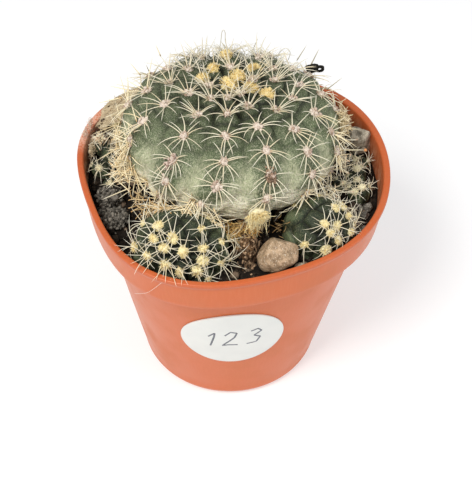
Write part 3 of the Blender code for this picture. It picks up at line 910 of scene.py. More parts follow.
# %% Stones
@dataclass
class Stone:
    """A lump: its form, its worn faces, how deep its dents are, and its finish and slot.

    Each face is the direction that it looks in and how far it is from the middle, as a share.
    """

    form: Form
    dents: float
    finish: str
    slot: str
    facets: int = 6
    faces: tuple = ()


PEBBLE_FACES = (
    ((0.00, -0.55, 0.82), 0.74),
    ((-0.90, 0.28, 0.33), 0.60),
    ((0.63, -0.60, -0.48), 0.58),
    ((0.09, 0.73, 0.67), 0.72),
    ((1.00, 0.00, 0.00), 0.86),
    ((0.14, -0.73, -0.67), 0.78),
    ((-0.95, -0.20, -0.20), 0.88),
    ((0.55, -0.10, 0.80), 0.80),
)
BLOCK_FACES = (
    ((0.00, -0.25, 0.97), 0.70),
    ((-0.15, -0.95, 0.15), 0.70),
    ((0.90, -0.35, 0.15), 0.72),
    ((-0.90, 0.00, 0.30), 0.75),
    ((0.35, 0.60, 0.70), 0.80),
)
STONES = (
    Stone(
        Form("pebble_brown", (9.5, -20.3, 48.0), (4.4, 4.0, 4.1), (0.2, -0.2, 0.95)),
        0.05,
        "brown",
        "stone_brown",
        2,
        PEBBLE_FACES,
    ),
    Stone(Form("stone_grey_front", (14.0, -22.0, 45.8), (1.4, 1.4, 1.2)), 0.12, "grey", "stone_grey"),
    Stone(
        Form("stone_grey_right", (27.4, 13.5, 48.2), (3.2, 2.8, 3.3)),
        0.09,
        "grey",
        "stone_grey",
        3,
        BLOCK_FACES,
    ),
    Stone(Form("stone_small_1", (28.6, -4.5, 45.9), (1.1, 1.0, 0.9)), 0.30, "dark", "stone_grey"),
    Stone(Form("stone_small_2", (27.6, -6.9, 45.8), (1.0, 1.0, 0.8)), 0.30, "dark", "stone_grey"),
    Stone(Form("lump_dark_1", (-25.2, -3.4, 46.1), (2.9, 2.8, 2.2)), 0.30, "dark", "stone_dark"),
    Stone(Form("lump_dark_2", (-23.2, -9.4, 45.9), (2.6, 2.9, 2.1)), 0.30, "dark", "stone_dark"),
    Stone(Form("bark", (3.7, -17.0, 46.8), (1.7, 3.6, 2.0)), 0.35, "bark", "bark", 4),
)
FORMS = [piece.form for piece in (*STEMS, *STONES)]

# %% [markdown]
# The crumbs are scattered by a seeded draw over the whole top, with more of them small than large,
# and those that would lie inside a stem or a stone are left out.

# %% Crumbs
CRUMBS = 900
CRUMB_SIZES = (0.28, 1.25)


def random_vector(draw, spread=1.0):
    return Vector([draw.gauss(0.0, spread) for _ in range(3)])


def noise_shift(draw):
    """A place far off in the noise, so that no two lumps get the same dents."""
    return Vector([draw.uniform(-50.0, 50.0) for _ in range(3)])


def rough_lump(centre, radius, draw):
    """A function that places one grain of a template, turned and dented in its own way."""
    spin = Matrix.Rotation(draw.uniform(0.0, math.tau), 4, random_vector(draw))
    stretch = Vector([draw.uniform(0.6, 1.25) for _ in range(3)])
    shift = noise_shift(draw)

    def place(point):
        dented = point * (1.0 + 0.55 * noise.noise(point * 1.4 + shift))
        return centre + (spin @ (dented * stretch)) * radius

    return place


def on_soil(x, y, radius, draw):
    """A place for a grain that is more or less sunk in the soil here."""
    return Vector((x, y, soil_height(x, y) + radius * draw.uniform(-0.1, 0.55)))


draw = random.Random(3)
grains = []
while len(grains) < CRUMBS:
    angle = draw.uniform(0.0, math.tau)
    room = inner_radius(SOIL_LEVEL) * press(angle, SOIL_LEVEL)
    radius = (CRUMB_SIZES[0] + (CRUMB_SIZES[1] - CRUMB_SIZES[0]) * draw.random() ** 3) * MM
    reach = (room - 1.1 * radius) * math.sqrt(draw.random())
    centre = on_soil(reach * math.cos(angle), reach * math.sin(angle), radius, draw)
    if not any(form.holds(centre, -0.2 * radius) for form in FORMS):
        grains.append((rough_lump(centre, radius, draw), draw.random() ** 4))
add_copies("soil_crumbs", small_ball, grains, soil_finish, "soil")

# %% Golden crumbs
DUST_CRUMBS = 240
DUST_CENTRE = Vector((1.8, -13.4)) * MM
DUST_SPREAD = Vector((3.0, 2.2)) * MM
grains = []
while len(grains) < DUST_CRUMBS:
    x = DUST_CENTRE.x + draw.gauss(0.0, 0.6) * DUST_SPREAD.x
    y = DUST_CENTRE.y + draw.gauss(0.0, 0.6) * DUST_SPREAD.y
    radius = draw.uniform(0.15, 0.62) * MM
    centre = on_soil(x, y, radius, draw) + Vector((0.0, 0.0, draw.uniform(0.3, 2.6) * MM))
    grains.append((rough_lump(centre, radius, draw), draw.random() ** 0.8))
add_copies("golden_crumbs", small_ball, grains, dust_finish, "bark")


# %% Grit and bark crumbs
def crusted(form, count, sizes, steepest, draw):
    """Grains stuck all over the top of a form."""
    made = []
    for _ in range(count):
        azimuth = draw.uniform(-math.pi, math.pi)
        polar = math.radians(steepest) * math.sqrt(draw.random())
        centre = form.matrix() @ form.point(azimuth, polar, draw.uniform(0.85, 1.0))
        made.append((rough_lump(centre, draw.uniform(*sizes) * MM, draw), draw.random()))
    return made


def heaped(centre, spread, height, count, sizes, draw):
    """Grains in a low heap on the soil, in millimetres."""
    made = []
    for _ in range(count):
        across, along = draw.gauss(0.0, 0.5), draw.gauss(0.0, 0.5)
        radius = draw.uniform(*sizes) * MM
        x, y = centre[0] + across * spread[0], centre[1] + along * spread[1]
        place = on_soil(x * MM, y * MM, radius, draw)
        place.z += draw.random() * height * max(0.0, 1.0 - math.hypot(across, along)) * MM
        wall = inner_radius(place.z) * press(math.atan2(place.y, place.x), place.z)
        if math.hypot(place.x, place.y) < wall - 1.2 * radius:
            made.append((rough_lump(place, radius, draw), draw.random()))
    return made


form_of = {form.name: form for form in FORMS}
grains = crusted(form_of["lump_dark_1"], 170, (0.15, 0.48), 80.0, draw)
grains += crusted(form_of["lump_dark_2"], 170, (0.15, 0.48), 80.0, draw)
grains += heaped((-25.0, -6.0), (3.0, 6.0), 0.8, 200, (0.15, 0.6), draw)
grains += heaped((26.6, -8.0), (2.4, 6.0), 0.8, 60, (0.3, 0.75), draw)
add_copies("dark_grit", small_ball, grains, grit_finish, "stone_dark")
grains = crusted(form_of["bark"], 90, (0.15, 0.4), 85.0, draw)
grains += heaped((3.4, -17.0), (3.2, 5.0), 1.2, 150, (0.2, 0.55), draw)
add_copies("bark_crumbs", small_ball, grains, bark_dust_finish, "bark")


# %% Flakes of bark
def flake(centre, heading, length, width, draw):
    """A function that places one grain drawn out into a flake that points this way."""
    turn = heading.to_track_quat("Z", "Y").to_matrix()
    shift = noise_shift(draw)

    def place(point):
        dented = point * (1.0 + 0.7 * noise.noise(point * 1.6 + shift))
        return centre + turn @ Vector((dented.x * width, dented.y * width * 0.6, dented.z * length))

    return place


BARK_FLAKES = 170
FLAKE_CENTRE = (4.1, -17.2)
FLAKE_REACH = 4.5
flakes = []
for _ in range(BARK_FLAKES):
    aside, behind = draw.gauss(0.0, 1.2), draw.gauss(0.0, 1.9)
    rise = max(0.0, 1.0 - math.hypot(aside, behind) / FLAKE_REACH)
    x, y = FLAKE_CENTRE[0] + aside, FLAKE_CENTRE[1] + behind
    centre = on_soil(x * MM, y * MM, 0.3 * MM, draw)
    centre.z += draw.uniform(0.2, 2.8) * rise * MM
    heading = Vector((draw.gauss(0.0, 0.35), draw.gauss(0.35, 0.35), 1.0))
    length, width = draw.uniform(0.5, 1.5) * MM, draw.uniform(0.14, 0.36) * MM
    flakes.append((flake(centre, heading, length, width, draw), draw.random() ** 1.4))
add_copies("bark_flakes", small_ball, flakes, bark_dust_finish, "bark")

# %% [markdown]
# ## Stones and bark
#
# A pebble is rounded but not round: it has a few worn faces. Each stone starts as an icosphere, is
# pressed flat against a handful of planes, which leaves faces with soft edges between them, and is
# then shaped to its form. The faces that the photograph shows are given, and a seeded draw adds the
# rest. Noise adds the pits. A Subdivision Surface over a low block would round all its edges alike,
# and a pebble's aren't. The brown pebble is a coarse rock with pale and rusty grains, the others are
# plain grey, and the dark lumps are clods of the mix.


# %% Stone finishes
def rock(name, dark, light, fleck, fleck_share):
    """A coarse matt stone with grains of the fleck colour, and painted shade in its pits and in the
    hollows of its grain.
    """
    dark, light, fleck = tone(*dark), tone(*light), tone(*fleck)
    finish = Finish(name)
    mottle = finish.noise(1.4 * MM, detail=5.0, roughness=0.65)
    grain = finish.noise(0.28 * MM, detail=3.0)
    pits = finish.cells(0.7 * MM)
    colour = finish.mix(mottle.rise(0.32, 0.68), dark, light)
    colour = finish.mix(grain.rise(0.58, 0.68) * fleck_share, colour, fleck)
    # Painted shade: the hollows of the grain and the pits are mixed towards the dark tone.
    colour = finish.mix((1.0 - grain.rise(0.30, 0.42)) * 0.6, colour, dark)
    colour = finish.mix((1.0 - pits.rise(0.0, 0.28)) * 0.5, colour, dark)
    bumps = finish.bump(grain * 0.5 + mottle + pits.rise(0.0, 0.4) * 0.3, 0.35 * MM)
    return finish.surface(
        Base_Color=colour, Roughness=grain * 0.2 + 0.6, Normal=bumps, Specular_IOR_Level=0.4
    )


STONE_FINISHES = {
    "brown": rock("brown_rock", (136, 112, 84), (212, 182, 148), (248, 234, 212), 0.8),
    "grey": rock("grey_rock", (104, 95, 79), (206, 193, 170), (222, 212, 194), 0.5),
    "dark": rock("dark_clod", (58, 54, 46), (128, 122, 112), (186, 180, 170), 0.8),
    "bark": rock("root_bark", (58, 38, 22), (142, 108, 74), (190, 158, 116), 0.6),
}


# %% Stone shapes
STONE_LEVELS = 5
FACE_PRESS = 0.93


def stone_mesh(stone, seed):
    """A ball pressed against the stone's planes, dented, and shaped to its form."""
    draw = random.Random(seed)
    shift = Vector((7.0 * seed, 0.0, 0.0))
    planes = [(Vector(look).normalized(), reach) for look, reach in stone.faces]
    for _ in range(stone.facets):
        normal = random_vector(draw).normalized()
        planes.append((normal, draw.uniform(0.80, 0.94)))
    bm = bmesh.new()
    bmesh.ops.create_icosphere(bm, subdivisions=STONE_LEVELS, radius=1.0)
    turn = stone.form.matrix()
    for vert in bm.verts:
        point = vert.co.copy()
        for normal, reach in planes:
            over = point.dot(normal) - reach
            if over > 0.0:
                point -= normal * over * FACE_PRESS
        worn = point.length
        polar = math.acos(max(-1.0, min(1.0, vert.co.z)))
        azimuth = math.atan2(vert.co.x, -vert.co.y)
        dent = noise.noise(vert.co * 1.3 + shift) + 0.5
        pits = noise.noise(vert.co * 5.0 + shift) * 0.35 + noise.noise(vert.co * 12.0 + shift) * 0.15
        size = worn * (1.0 - stone.dents * (dent + pits))
        vert.co = turn @ stone.form.point(azimuth, polar, size)
    return bm


for seed, stone in enumerate(STONES):
    name = stone.form.name
    add_piece(f"{name}_rock", stone_mesh(stone, seed), STONE_FINISHES[stone.finish], stone.slot, [name])

# %% [markdown]
# ## Skins
#
# The big stem has broad shallow ribs, and each rib is a row of chins, one under each areole, which
# smooth out lower down into a scarred corky base. Each skin is a sphere with many columns for each
# rib, moved point by point to that surface: the rib's crest, its chins, the sunken crown, the creases
# between areoles, and a little noise, so that no two chins are alike.


# %% Ribs and chins
def areole_phase(stem, polar):
    """How many steps down a rib this angle is, the inverse of the rule that spaces the areoles."""
    fall = math.degrees(polar) - stem.first_areole
    if stem.areole_growth == 0.0:
        return fall / stem.areole_step
    root = stem.areole_step**2 + 4.0 * stem.areole_growth * fall
    return (math.sqrt(max(root, 0.0)) - stem.areole_step) / (2.0 * stem.areole_growth)


CROWN_SINK = 0.055
CROWN_SPREAD = 15.0
LEAN_FROM, LEAN_OVER = 55.0, 47.0
TUCK_FROM, TUCK_OVER = 84.0, 32.0
CHIN_PHASE = 0.30


def ribbed(stem, along_ribs, polar):
    """The surface point, and how far aside of its rib it is: 0 on the crest, 1 in a furrow."""
    count = len(stem.ribs)
    rib = math.floor(along_ribs) % count
    share = along_ribs - math.floor(along_ribs)
    start, end = stem.ribs[rib], stem.ribs[(rib + 1) % count]
    width = (end[0] - start[0]) % 360.0
    fall = math.degrees(polar)
    lean = start[2] + (end[2] - start[2]) * share
    lean *= (max(0.0, fall - LEAN_FROM) / LEAN_OVER) ** 2
    azimuth = math.radians(start[0] + width * share + lean)
    phase = (start if share < 0.5 else end)[1]
    step = (areole_phase(stem, polar) - phase) % 1.0
    aside = 2.0 * min(share, 1.0 - share)
    crest = (1.0 - aside**2.4) ** 0.7
    young = max(0.0, 1.0 - fall / (0.80 * stem.last_areole))
    chin = 0.5 + 0.5 * math.cos(math.tau * (step - CHIN_PHASE))
    depth = (1.0 - crest) * (0.70 + 0.30 * young) + (1.0 - chin) * crest * (0.18 + 0.45 * young)
    fade = min(1.0, math.sin(polar) * 2.5)
    sink = CROWN_SINK * math.exp(-((fall / CROWN_SPREAD) ** 2))
    sink += stem.tuck * clamp((fall - TUCK_FROM) / TUCK_OVER) ** 1.5
    return stem.form.point(azimuth, polar, 1.0 - stem.relief * fade * depth - sink), aside


# %% [markdown]
# ## Areoles
#
# Every spine and every bit of wool of a cactus grows from an areole, a small felted cushion on the
# crest of a rib. So the areoles come first: one for each step down each rib, each with a frame of
# its own, which says which way is sideways, down the rib, and out of the skin. The wool and the
# spines are then written once, in that frame, where a scatter over the skin would have no rows.


# %% Areoles
MOST_ROWS = 20


@dataclass
class Areole:
    stem: Stem
    azimuth: float
    polar: float
    woolly: bool
    side: Vector
    down: Vector
    out: Vector
    place: Vector

    def direction(self, turn, lift):
        """Turned this far from down the rib, and lifted this far off the skin, in degrees."""
        turn, lift = math.radians(turn), math.radians(lift)
        heading = self.side * math.sin(turn) + self.down * math.cos(turn)
        return heading * math.cos(lift) + self.out * math.sin(lift)

    def point(self, side, down, out):
        return self.place + self.side * side + self.down * down + self.out * out


def areole_at(stem, azimuth, polar, woolly):
    """The areole here, with its frame from the skin round it."""
    turn = stem.form.matrix()
    count = len(stem.ribs)

    def on_skin(across, down):
        rib, share = rib_at(stem, azimuth)
        return turn @ ribbed(stem, (rib + share + across) % count, math.radians(polar + down))[0]

    place = on_skin(0.0, 0.0)
    down = (on_skin(0.0, 5.0) - on_skin(0.0, -5.0)).normalized()
    side = (on_skin(0.2, 0.0) - on_skin(-0.2, 0.0)).normalized()
    out = down.cross(side).normalized()
    return Areole(stem, azimuth, polar, woolly, side, side.cross(out), out, place)


def rib_at(stem, azimuth):
    """The rib just before this azimuth, and the share of the way to the next."""
    for rib, (start, _, _) in enumerate(stem.ribs):
        width = (stem.ribs[(rib + 1) % len(stem.ribs)][0] - start) % 360.0
        if (azimuth - start) % 360.0 < width:
            return rib, (azimuth - start) % 360.0 / width
    raise ValueError(azimuth)


def areoles(stem):
    """The pads of the photograph, then one areole for each step down each rib."""
    found = [areole_at(stem, azimuth, polar, True) for azimuth, polar in stem.pads]
    pads = len(found)
    for azimuth, phase, _ in stem.ribs:
        for row in range(MOST_ROWS):
            at = phase + row
            polar = stem.first_areole + stem.areole_step * at + stem.areole_growth * at * at
            if polar > stem.last_areole:
                break
            made = areole_at(stem, azimuth, polar, not stem.pads)
            near = [(pad.place - made.place).length for pad in found[:pads]]
            if made.place.z > SOIL_LEVEL and min(near, default=1.0) > stem.pad_room * MM:
                found.append(made)
    return found


AREOLES = {stem.form.name: areoles(stem) for stem in STEMS}
for name, found in AREOLES.items():
    print(f"{name}: {len(found)} areoles")

# %% [markdown]
# Between the young areoles the skin is creased, so that each stands on a tubercle of its own. The
# creases lie where two areoles are equally near, so they are found from the areoles: the skin sinks
# where its nearest and second nearest are almost as far away. They fade down the stem with age. The
# middle of each is also marked for the skin's colour, which darkens it nearly to black as painted shade.

# %% Skin mesh
STEM_FOOT = 43.95 * MM


def tops_of(stem):
    """A tree of the stem's areoles, for finding the nearest two."""
    places = [areole.place for areole in AREOLES[stem.form.name]]
    tree = kdtree.KDTree(len(places))
    for index, place in enumerate(places):
        tree.insert(place, index)
    tree.balance()
    return tree


def creased(stem, tops, place, polar):
    """How far the skin sinks here between two areoles, and how near the groove's middle is, for its
    painted shade.
    """
    first, second = (found[2] for found in tops.find_n(place, 2))
    gap = (second - first) / (stem.tubercle_width * MM)
    young = clamp(1.6 * (1.0 - math.degrees(polar) / stem.smooth_from))
    sink = max(0.0, 1.0 - gap) ** 1.6 * young
    return sink * stem.tubercle_depth * MM, math.exp(-((gap / 0.30) ** 2)) * young


def skin_mesh(stem, columns, rows, wobble):
    """The skin, with the attributes aside, crease and fall that its colour follows; the second is where
    painted shade darkens the creases.
    """
    bm = bmesh.new()
    count = len(stem.ribs)
    bmesh.ops.create_uvsphere(bm, u_segments=count * columns, v_segments=rows, radius=1.0)
    layers = [bm.verts.layers.float.new(name) for name in ("aside", "crease_shade", "fall")]
    turn = stem.form.matrix()
    tops = tops_of(stem)
    for vert in bm.verts:
        polar = math.acos(max(-1.0, min(1.0, vert.co.z)))
        along_ribs = math.atan2(vert.co.y, vert.co.x) / math.tau * count
        point, aside = ribbed(stem, along_ribs % count, polar)
        place = turn @ point
        sink, crease_shade = creased(stem, tops, place, polar)
        lumps = noise.noise(place / (2.4 * MM)) * wobble
        scars = noise.noise(Vector((place.x, place.y, place.z * 3.5)) / (1.6 * MM))
        scars *= wobble * max(0.0, math.degrees(polar) - 70.0) / 20.0
        vert.co = place + (place - turn.translation).normalized() * (lumps + scars - sink)
        for layer, value in zip(layers, (aside, crease_shade, math.degrees(polar) / 90.0)):
            vert[layer] = value
    geom = bm.verts[:] + bm.edges[:] + bm.faces[:]
    plane = {"plane_co": (0.0, 0.0, STEM_FOOT), "plane_no": (0.0, 0.0, 1.0)}
    cut = bmesh.ops.bisect_plane(bm, geom=geom, dist=1e-8, clear_inner=True, **plane)["geom_cut"]
    rim = [thing for thing in cut if isinstance(thing, bmesh.types.BMEdge)]
    if rim:
        bmesh.ops.contextual_create(bm, geom=rim)
    bmesh.ops.recalc_face_normals(bm, faces=bm.faces)
    return bm


# %% [markdown]
# A cactus skin is waxy and matte, with a fine grain of pores. Its colour tells its age: dark green
# on the young skin, sage on the chins, paler down the furrows, and at the foot a beige cork that
# breaks up the green in patches, with near-white painted light on its wrinkles there, partly its own
# pale colour and partly lightening against the shade under the stem. The young creases are painted
# nearly black, as painted shade. A little light goes into the flesh.


# %% Skin finish
def skin(name, dark, green, pale, cork, cork_from):
    dark, green, pale, cork = (tone(*colour) for colour in (dark, green, pale, cork))
    finish = Finish(name)
    aside, crease_shade, fall = (finish.attribute(one) for one in ("aside", "crease_shade", "fall"))
    patches = finish.noise(4.5 * MM, detail=5.0, roughness=0.6)
    mottle = finish.noise(1.1 * MM, detail=5.0, roughness=0.7)
    pores = finish.noise(0.24 * MM, detail=4.0, roughness=0.75)
    streaks = finish.noise(0.7 * MM, detail=4.0, stretch=(1.0, 1.0, 9.0))
    age = fall.rise(0.15, 1.15)
    furrow = aside.rise(0.25, 0.90) * fall.rise(0.35, 0.95)
    crest = (1.0 - aside.rise(0.0, 0.5)) * fall.rise(0.30, 0.75)
    light = furrow * 0.80 - crest * 0.22 + patches * 0.62 + streaks * age * 1.9 - age * 0.11 - 0.95
    colour = finish.mix(light.rise(0.0, 0.9), green, pale)
    shade = (1.0 - fall.rise(0.10, 0.78)) * 0.62 + (1.0 - mottle) * 1.5 - 0.62
    colour = finish.mix((shade + crest * 0.22 - furrow * 0.35).clamped(), colour, dark)
    wrinkles = finish.noise(0.45 * MM, detail=3.0, stretch=(4.0, 4.0, 1.0))
    worn = finish.mix(wrinkles.rise(0.36, 0.56), pale, cork)
    # Painted light: near-white on the wrinkles round the foot, partly the cork's own pale colour and
    # partly lightening against the shade under the stem.
    worn = finish.mix(fall.rise(0.94, 1.06) * wrinkles.rise(0.25, 0.45) * 0.95, worn, tone(252, 246, 218))
    corky = (fall + patches * 0.5 + mottle * 0.4 + furrow * 0.12 - 0.48).rise(cork_from, cork_from + 0.24)
    colour = finish.mix(corky * 0.9, colour, worn)
    scratches = finish.noise(0.20 * MM, detail=2.0, roughness=0.6, stretch=(1.0, 1.0, 4.0))
    colour = finish.mix(pores.rise(0.50, 0.68) * (age * 0.25 + 0.25), colour, cork)
    colour = finish.mix(scratches.rise(0.52, 0.66) * (age * 0.36 + 0.10), colour, cork)
    colour = finish.mix(pores.rise(0.30, 0.46) * -0.35 + 0.35, colour, dark)
    colour = finish.mix(scratches.rise(0.34, 0.48) * -0.40 + 0.40, colour, dark)
    # Painted shade: the middles of the young creases are darkened nearly to black.
    colour = finish.mix(crease_shade * 0.88, colour, tuple(channel * 0.15 for channel in dark[:3]) + (1.0,))
    bumps = finish.bump(pores * 0.5 + mottle * 0.5 + wrinkles * corky * 2.6, 0.2 * MM)
    return finish.surface(
        Base_Color=colour,
        Roughness=mottle * 0.2 + 0.5,
        Normal=bumps,
        Specular_IOR_Level=0.3,
        Subsurface_Weight=0.06,
        Subsurface_Radius=(0.5, 1.0, 0.3),
        Subsurface_Scale=0.6 * MM,
    )


main_skin = skin("sage_skin", (42, 52, 32), (93, 106, 74), (172, 176, 142), (228, 222, 194), 0.97)
dark_skin = skin("young_skin", (20, 27, 17), (48, 62, 42), (104, 118, 88), (158, 154, 120), 1.35)
SKINS = {
    "stem_main": (main_skin, "stem_main"),
    "offset_front_left": (dark_skin, "offset_dark"),
    "offset_front_right": (dark_skin, "offset_dark"),
}

# %% Stem skins
SKIN_COLUMNS = 18
SKIN_ROWS = 130
SKIN_WOBBLE = 0.18 * MM
for stem in STEMS:
    name = stem.form.name
    finish, slot = SKINS.get(name, (dark_skin, "offset_small"))
    big = stem.form.half_sizes[0] / MAIN_STEM.form.half_sizes[0]
    columns = max(8, round(SKIN_COLUMNS * big**0.4))
    rows = max(24, round(SKIN_ROWS * big**0.4))
    bm = skin_mesh(stem, columns, rows, SKIN_WOBBLE * big**0.5)
    add_piece(f"{name}_skin", bm, finish, slot, [name])

# %% [markdown]
# ## Felt
#
# An areole's felt is a low oval cushion of matted wool. Old ones are worn and pinkish tan, and the
# youngest, near each crown, are thick golden pads that stand up. One smooth cushion would look like
# a bead, so each is a dented icosphere pressed into the areole with smaller clumps over it, each of
# its own tint, and hairs stand between them, so that its edge is never a clean line.


# %% Felt and hair finishes
def fibre_finish(name, *colours):
    """From the root's colour to the body's and the tip's, with some fibres nearer the fourth."""
    root, body, tip, other = (tone(*colour) for colour in colours)
    finish = Finish(name)
    along = finish.attribute("along")
    tint = finish.attribute("tint")
    colour = finish.mix(along.rise(0.02, 0.22), root, body)
    colour = finish.mix(along.rise(0.55, 1.0), colour, tip)
    colour = finish.mix(tint.rise(0.45, 1.0) * 0.6, colour, other)
    return finish.surface(Base_Color=colour, Roughness=along * 0.1 + 0.42, Specular_IOR_Level=0.35)


def felt_finish(name, deep, light):
    deep, light = tone(*deep), tone(*light)
    finish = Finish(name)
    fuzz = finish.noise(0.16 * MM, detail=4.0, roughness=0.75)
    tint = finish.attribute("tint")
    colour = finish.mix((fuzz + tint * 0.5).rise(0.35, 1.0), deep, light)
    bumps = finish.bump(fuzz, 0.18 * MM)
    return finish.surface(Base_Color=colour, Roughness=0.9, Normal=bumps, Specular_IOR_Level=0.2)


old_felt = felt_finish("old_felt", (176, 142, 120), (240, 226, 210))
golden_felt = felt_finish("golden_felt", (226, 192, 118), (250, 230, 168))
yellow_felt = felt_finish("yellow_felt", (238, 212, 144), (255, 244, 194))
pale_felt = felt_finish("pale_felt", (218, 204, 160), (248, 241, 206))
old_wool = fibre_finish("old_wool", (196, 158, 134), (236, 218, 198), (246, 236, 222), (216, 180, 156))
golden_wool = fibre_finish(
    "golden_wool", (224, 190, 120), (246, 222, 154), (252, 234, 178), (232, 196, 126)
)
yellow_wool = fibre_finish(
    "yellow_wool", (236, 208, 142), (250, 234, 176), (255, 244, 206), (242, 216, 152)
)
pale_wool = fibre_finish("pale_wool", (210, 194, 150), (244, 235, 200), (252, 247, 226), (222, 206, 162))


# %% Felt cushions
def cushion(areole, half_side, half_down, rise, draw, dents=0.5):
    """A function that presses a dented ball into an areole."""
    shift = noise_shift(draw)

    def place(point):
        dented = point * (1.0 + dents * noise.noise(point * 1.8 + shift))
        return areole.point(dented.x * half_side, dented.y * half_down, dented.z * rise)

    return place


def clumps(areole, sizes, count, draw):
    """Small lumps of felt over an areole, taller on a young pad."""
    made = []
    for _ in range(count):
        reach = math.sqrt(draw.random()) * (0.75 if areole.woolly else 1.0)
        turn = draw.uniform(0.0, math.tau)
        size = draw.uniform(0.26, 0.42) * sizes[0]
        side = sizes[0] * reach * math.sin(turn)
        down = sizes[1] * reach * math.cos(turn)
        high = draw.uniform(0.35, 0.75) if areole.woolly else draw.uniform(0.55, 1.15)
        high = sizes[2] * high * math.sqrt(1.0 - 0.8 * reach**2)
        lump = replace(areole, place=areole.point(side, down, high))
        tall = size * (draw.uniform(1.0, 1.8) if areole.woolly else draw.uniform(0.7, 1.1))
        made.append((cushion(lump, size, size, tall, draw, 0.3), draw.random()))
    return made


def cushion_size(areole, draw):
    """Half the width, half the length and the height of an areole's felt."""
    if areole.woolly:
        radius = areole.stem.pad_radius * draw.uniform(0.82, 1.1) * MM
        return radius * draw.uniform(0.8, 1.15), radius * draw.uniform(0.9, 1.3), radius * 0.8
    radius = areole.stem.pad_radius * 0.64 * draw.uniform(0.85, 1.15) * MM
    return radius, radius * 1.25, radius * 0.65


# %% [markdown]
# ## Spines
#
# A spine is a thin tapered needle that leaves its areole at an angle and bends back towards the
# skin. The template is a four-sided tube with a closed point, extruded ring by ring, and each copy's
# rings are strung along that bent line. A Curve modifier would bend a single one as well, but there
# are thousands.

# %% Spine templates
SPINE_SIDES = 4
SPINE_RINGS = 5
HAIR_SIDES = 3
HAIR_RINGS = 3
CURL_RINGS = 22


def tube_template(name, sides, rings):
    """A tube of unit radius from z = 0 to 1, closed at both ends."""
    bm = bmesh.new()
    bmesh.ops.create_circle(bm, cap_ends=False, segments=sides, radius=1.0)
    ring = bm.edges[:]
    bmesh.ops.contextual_create(bm, geom=ring)
    for _ in range(rings):
        made = bmesh.ops.extrude_edge_only(bm, edges=ring)["geom"]
        verts = [thing for thing in made if isinstance(thing, bmesh.types.BMVert)]
        bmesh.ops.translate(bm, verts=verts, vec=(0.0, 0.0, 1.0 / rings))
        ring = [thing for thing in made if isinstance(thing, bmesh.types.BMEdge)]
        ring = [edge for edge in ring if all(vert in verts for vert in edge.verts)]
    bmesh.ops.contextual_create(bm, geom=ring)
    bmesh.ops.recalc_face_normals(bm, faces=bm.faces)
    return template_of(bm, name)


spine_template = tube_template("spine", SPINE_SIDES, SPINE_RINGS)
hair_template = tube_template("hair", HAIR_SIDES, HAIR_RINGS)
curl_template = tube_template("curl", SPINE_SIDES, CURL_RINGS)


def strung(path, width, point_share=0.25):
    """A function that strings a tube's rings along a path of 0 to 1, tapered to its tip."""

    def place(point):
        share = min(1.0, point.z)
        here = path(share)
        ahead = path(min(1.0, share + 0.02)) - path(max(0.0, share - 0.02))
        side = ahead.orthogonal().normalized() if abs(ahead.z) > 0.9 * ahead.length else None
        side = side or ahead.cross(Vector((0.0, 0.0, 1.0))).normalized()
        up = side.cross(ahead).normalized()
        taper = width * (point_share + (1.0 - point_share) * (1.0 - share) ** 0.7)
        taper *= 1.0 if share < 0.99 else 0.3
        return here + (side * point.x + up * point.y) * taper

    return place


def bent(root, start, end, length):
    """A line that leaves root along start and has turned to end at its tip."""
    return lambda share: root + (start * (share - share**2 / 2.0) + end * share**2 / 2.0) * length


# %% [markdown]
# A spine can't pass through the pot, the soil or a neighbour, so each one is tried first: if its line
# meets something, it is lifted and shortened, as a real one is pushed aside while it grows.

# %% Room for a spine
SPINE_TRIES = 6
LIFT_STEP = 14.0
POT_ROOM = 0.15 * MM
SOIL_ROOM = 0.1 * MM
OVERLAP = 0.4 * MM


def blocked(path, own):
    """Whether a line meets the pot, the soil or any form but its own."""
    for share in (0.4, 0.7, 1.0):
        place = path(share)
        angle = math.atan2(place.y, place.x)
        if place.z < POT_HEIGHT + POT_ROOM:
            if math.hypot(place.x, place.y) > inner_radius(place.z) * press(angle, place.z) - POT_ROOM:
                return True
        if place.z < soil_height(place.x, place.y) + SOIL_ROOM:
            return True
        if any(form.holds(place, -OVERLAP) for form in FORMS if form is not own):
            return True
    return False


def grow(areole, turn, lift, curl, length, width, root=(0.0, 0.0), sweep=0.0):
    """One spine's placing, or None. It bends back by curl and towards the foot by sweep."""
    foot = areole.point(root[0] * MM, root[1] * MM, -0.1 * MM)
    down_turn = turn - math.copysign(min(sweep, abs(turn)), turn)
    for _ in range(SPINE_TRIES):
        start = areole.direction(turn, lift)
        end = areole.direction(down_turn, lift - curl)
        path = bent(foot, start, end, length)
        if not blocked(path, areole.stem.form):
            return strung(path, width)
        lift += LIFT_STEP
        length *= 0.92
    return None


# %% [markdown]
# The habit of the spines, from the photograph: on the big stem each areole spreads eleven needles,
# mostly sideways and down, the lower ones longer. At the crown they are young and stand up.
# On both flanks there are more of them, longer, straighter and straw yellow, and they cross into a
# web. The offsets have thin white needles that spread all round like a star.

# %% Spine finishes
pale_spine = fibre_finish(
    "pale_spine", (208, 172, 142), (234, 226, 200), (244, 238, 220), (222, 202, 160)
)
straw_spine = fibre_finish(
    "straw_spine", (226, 192, 142), (250, 236, 198), (255, 247, 222), (240, 214, 162)
)
mat_fibre = fibre_finish("mat_fibre", (200, 178, 142), (226, 210, 176), (238, 226, 200), (204, 176, 142))
knot_fibre = fibre_finish(
    "knot_fibre", (200, 176, 134), (238, 220, 180), (250, 238, 206), (206, 180, 136)
)
white_spine = fibre_finish(
    "white_spine", (222, 200, 158), (242, 234, 208), (252, 247, 230), (230, 212, 172)
)

# %% Spines of the big stem
FLANK = 95.0
FLANK_SPREAD = 32.0
RIGHT_FLANK = 0.18


def straw_share(areole):
    """How straw-coloured and long the spines are here: 1 at the left flank, 0 in front."""
    turn = (areole.azimuth + 180.0) % 360.0 - 180.0
    flank = math.exp(-(((abs(turn) - FLANK) / FLANK_SPREAD) ** 2)) * (1.0 if turn < 0.0 else RIGHT_FLANK)
    age = clamp((areole.polar - 38.0) / 30.0)
    return flank * age


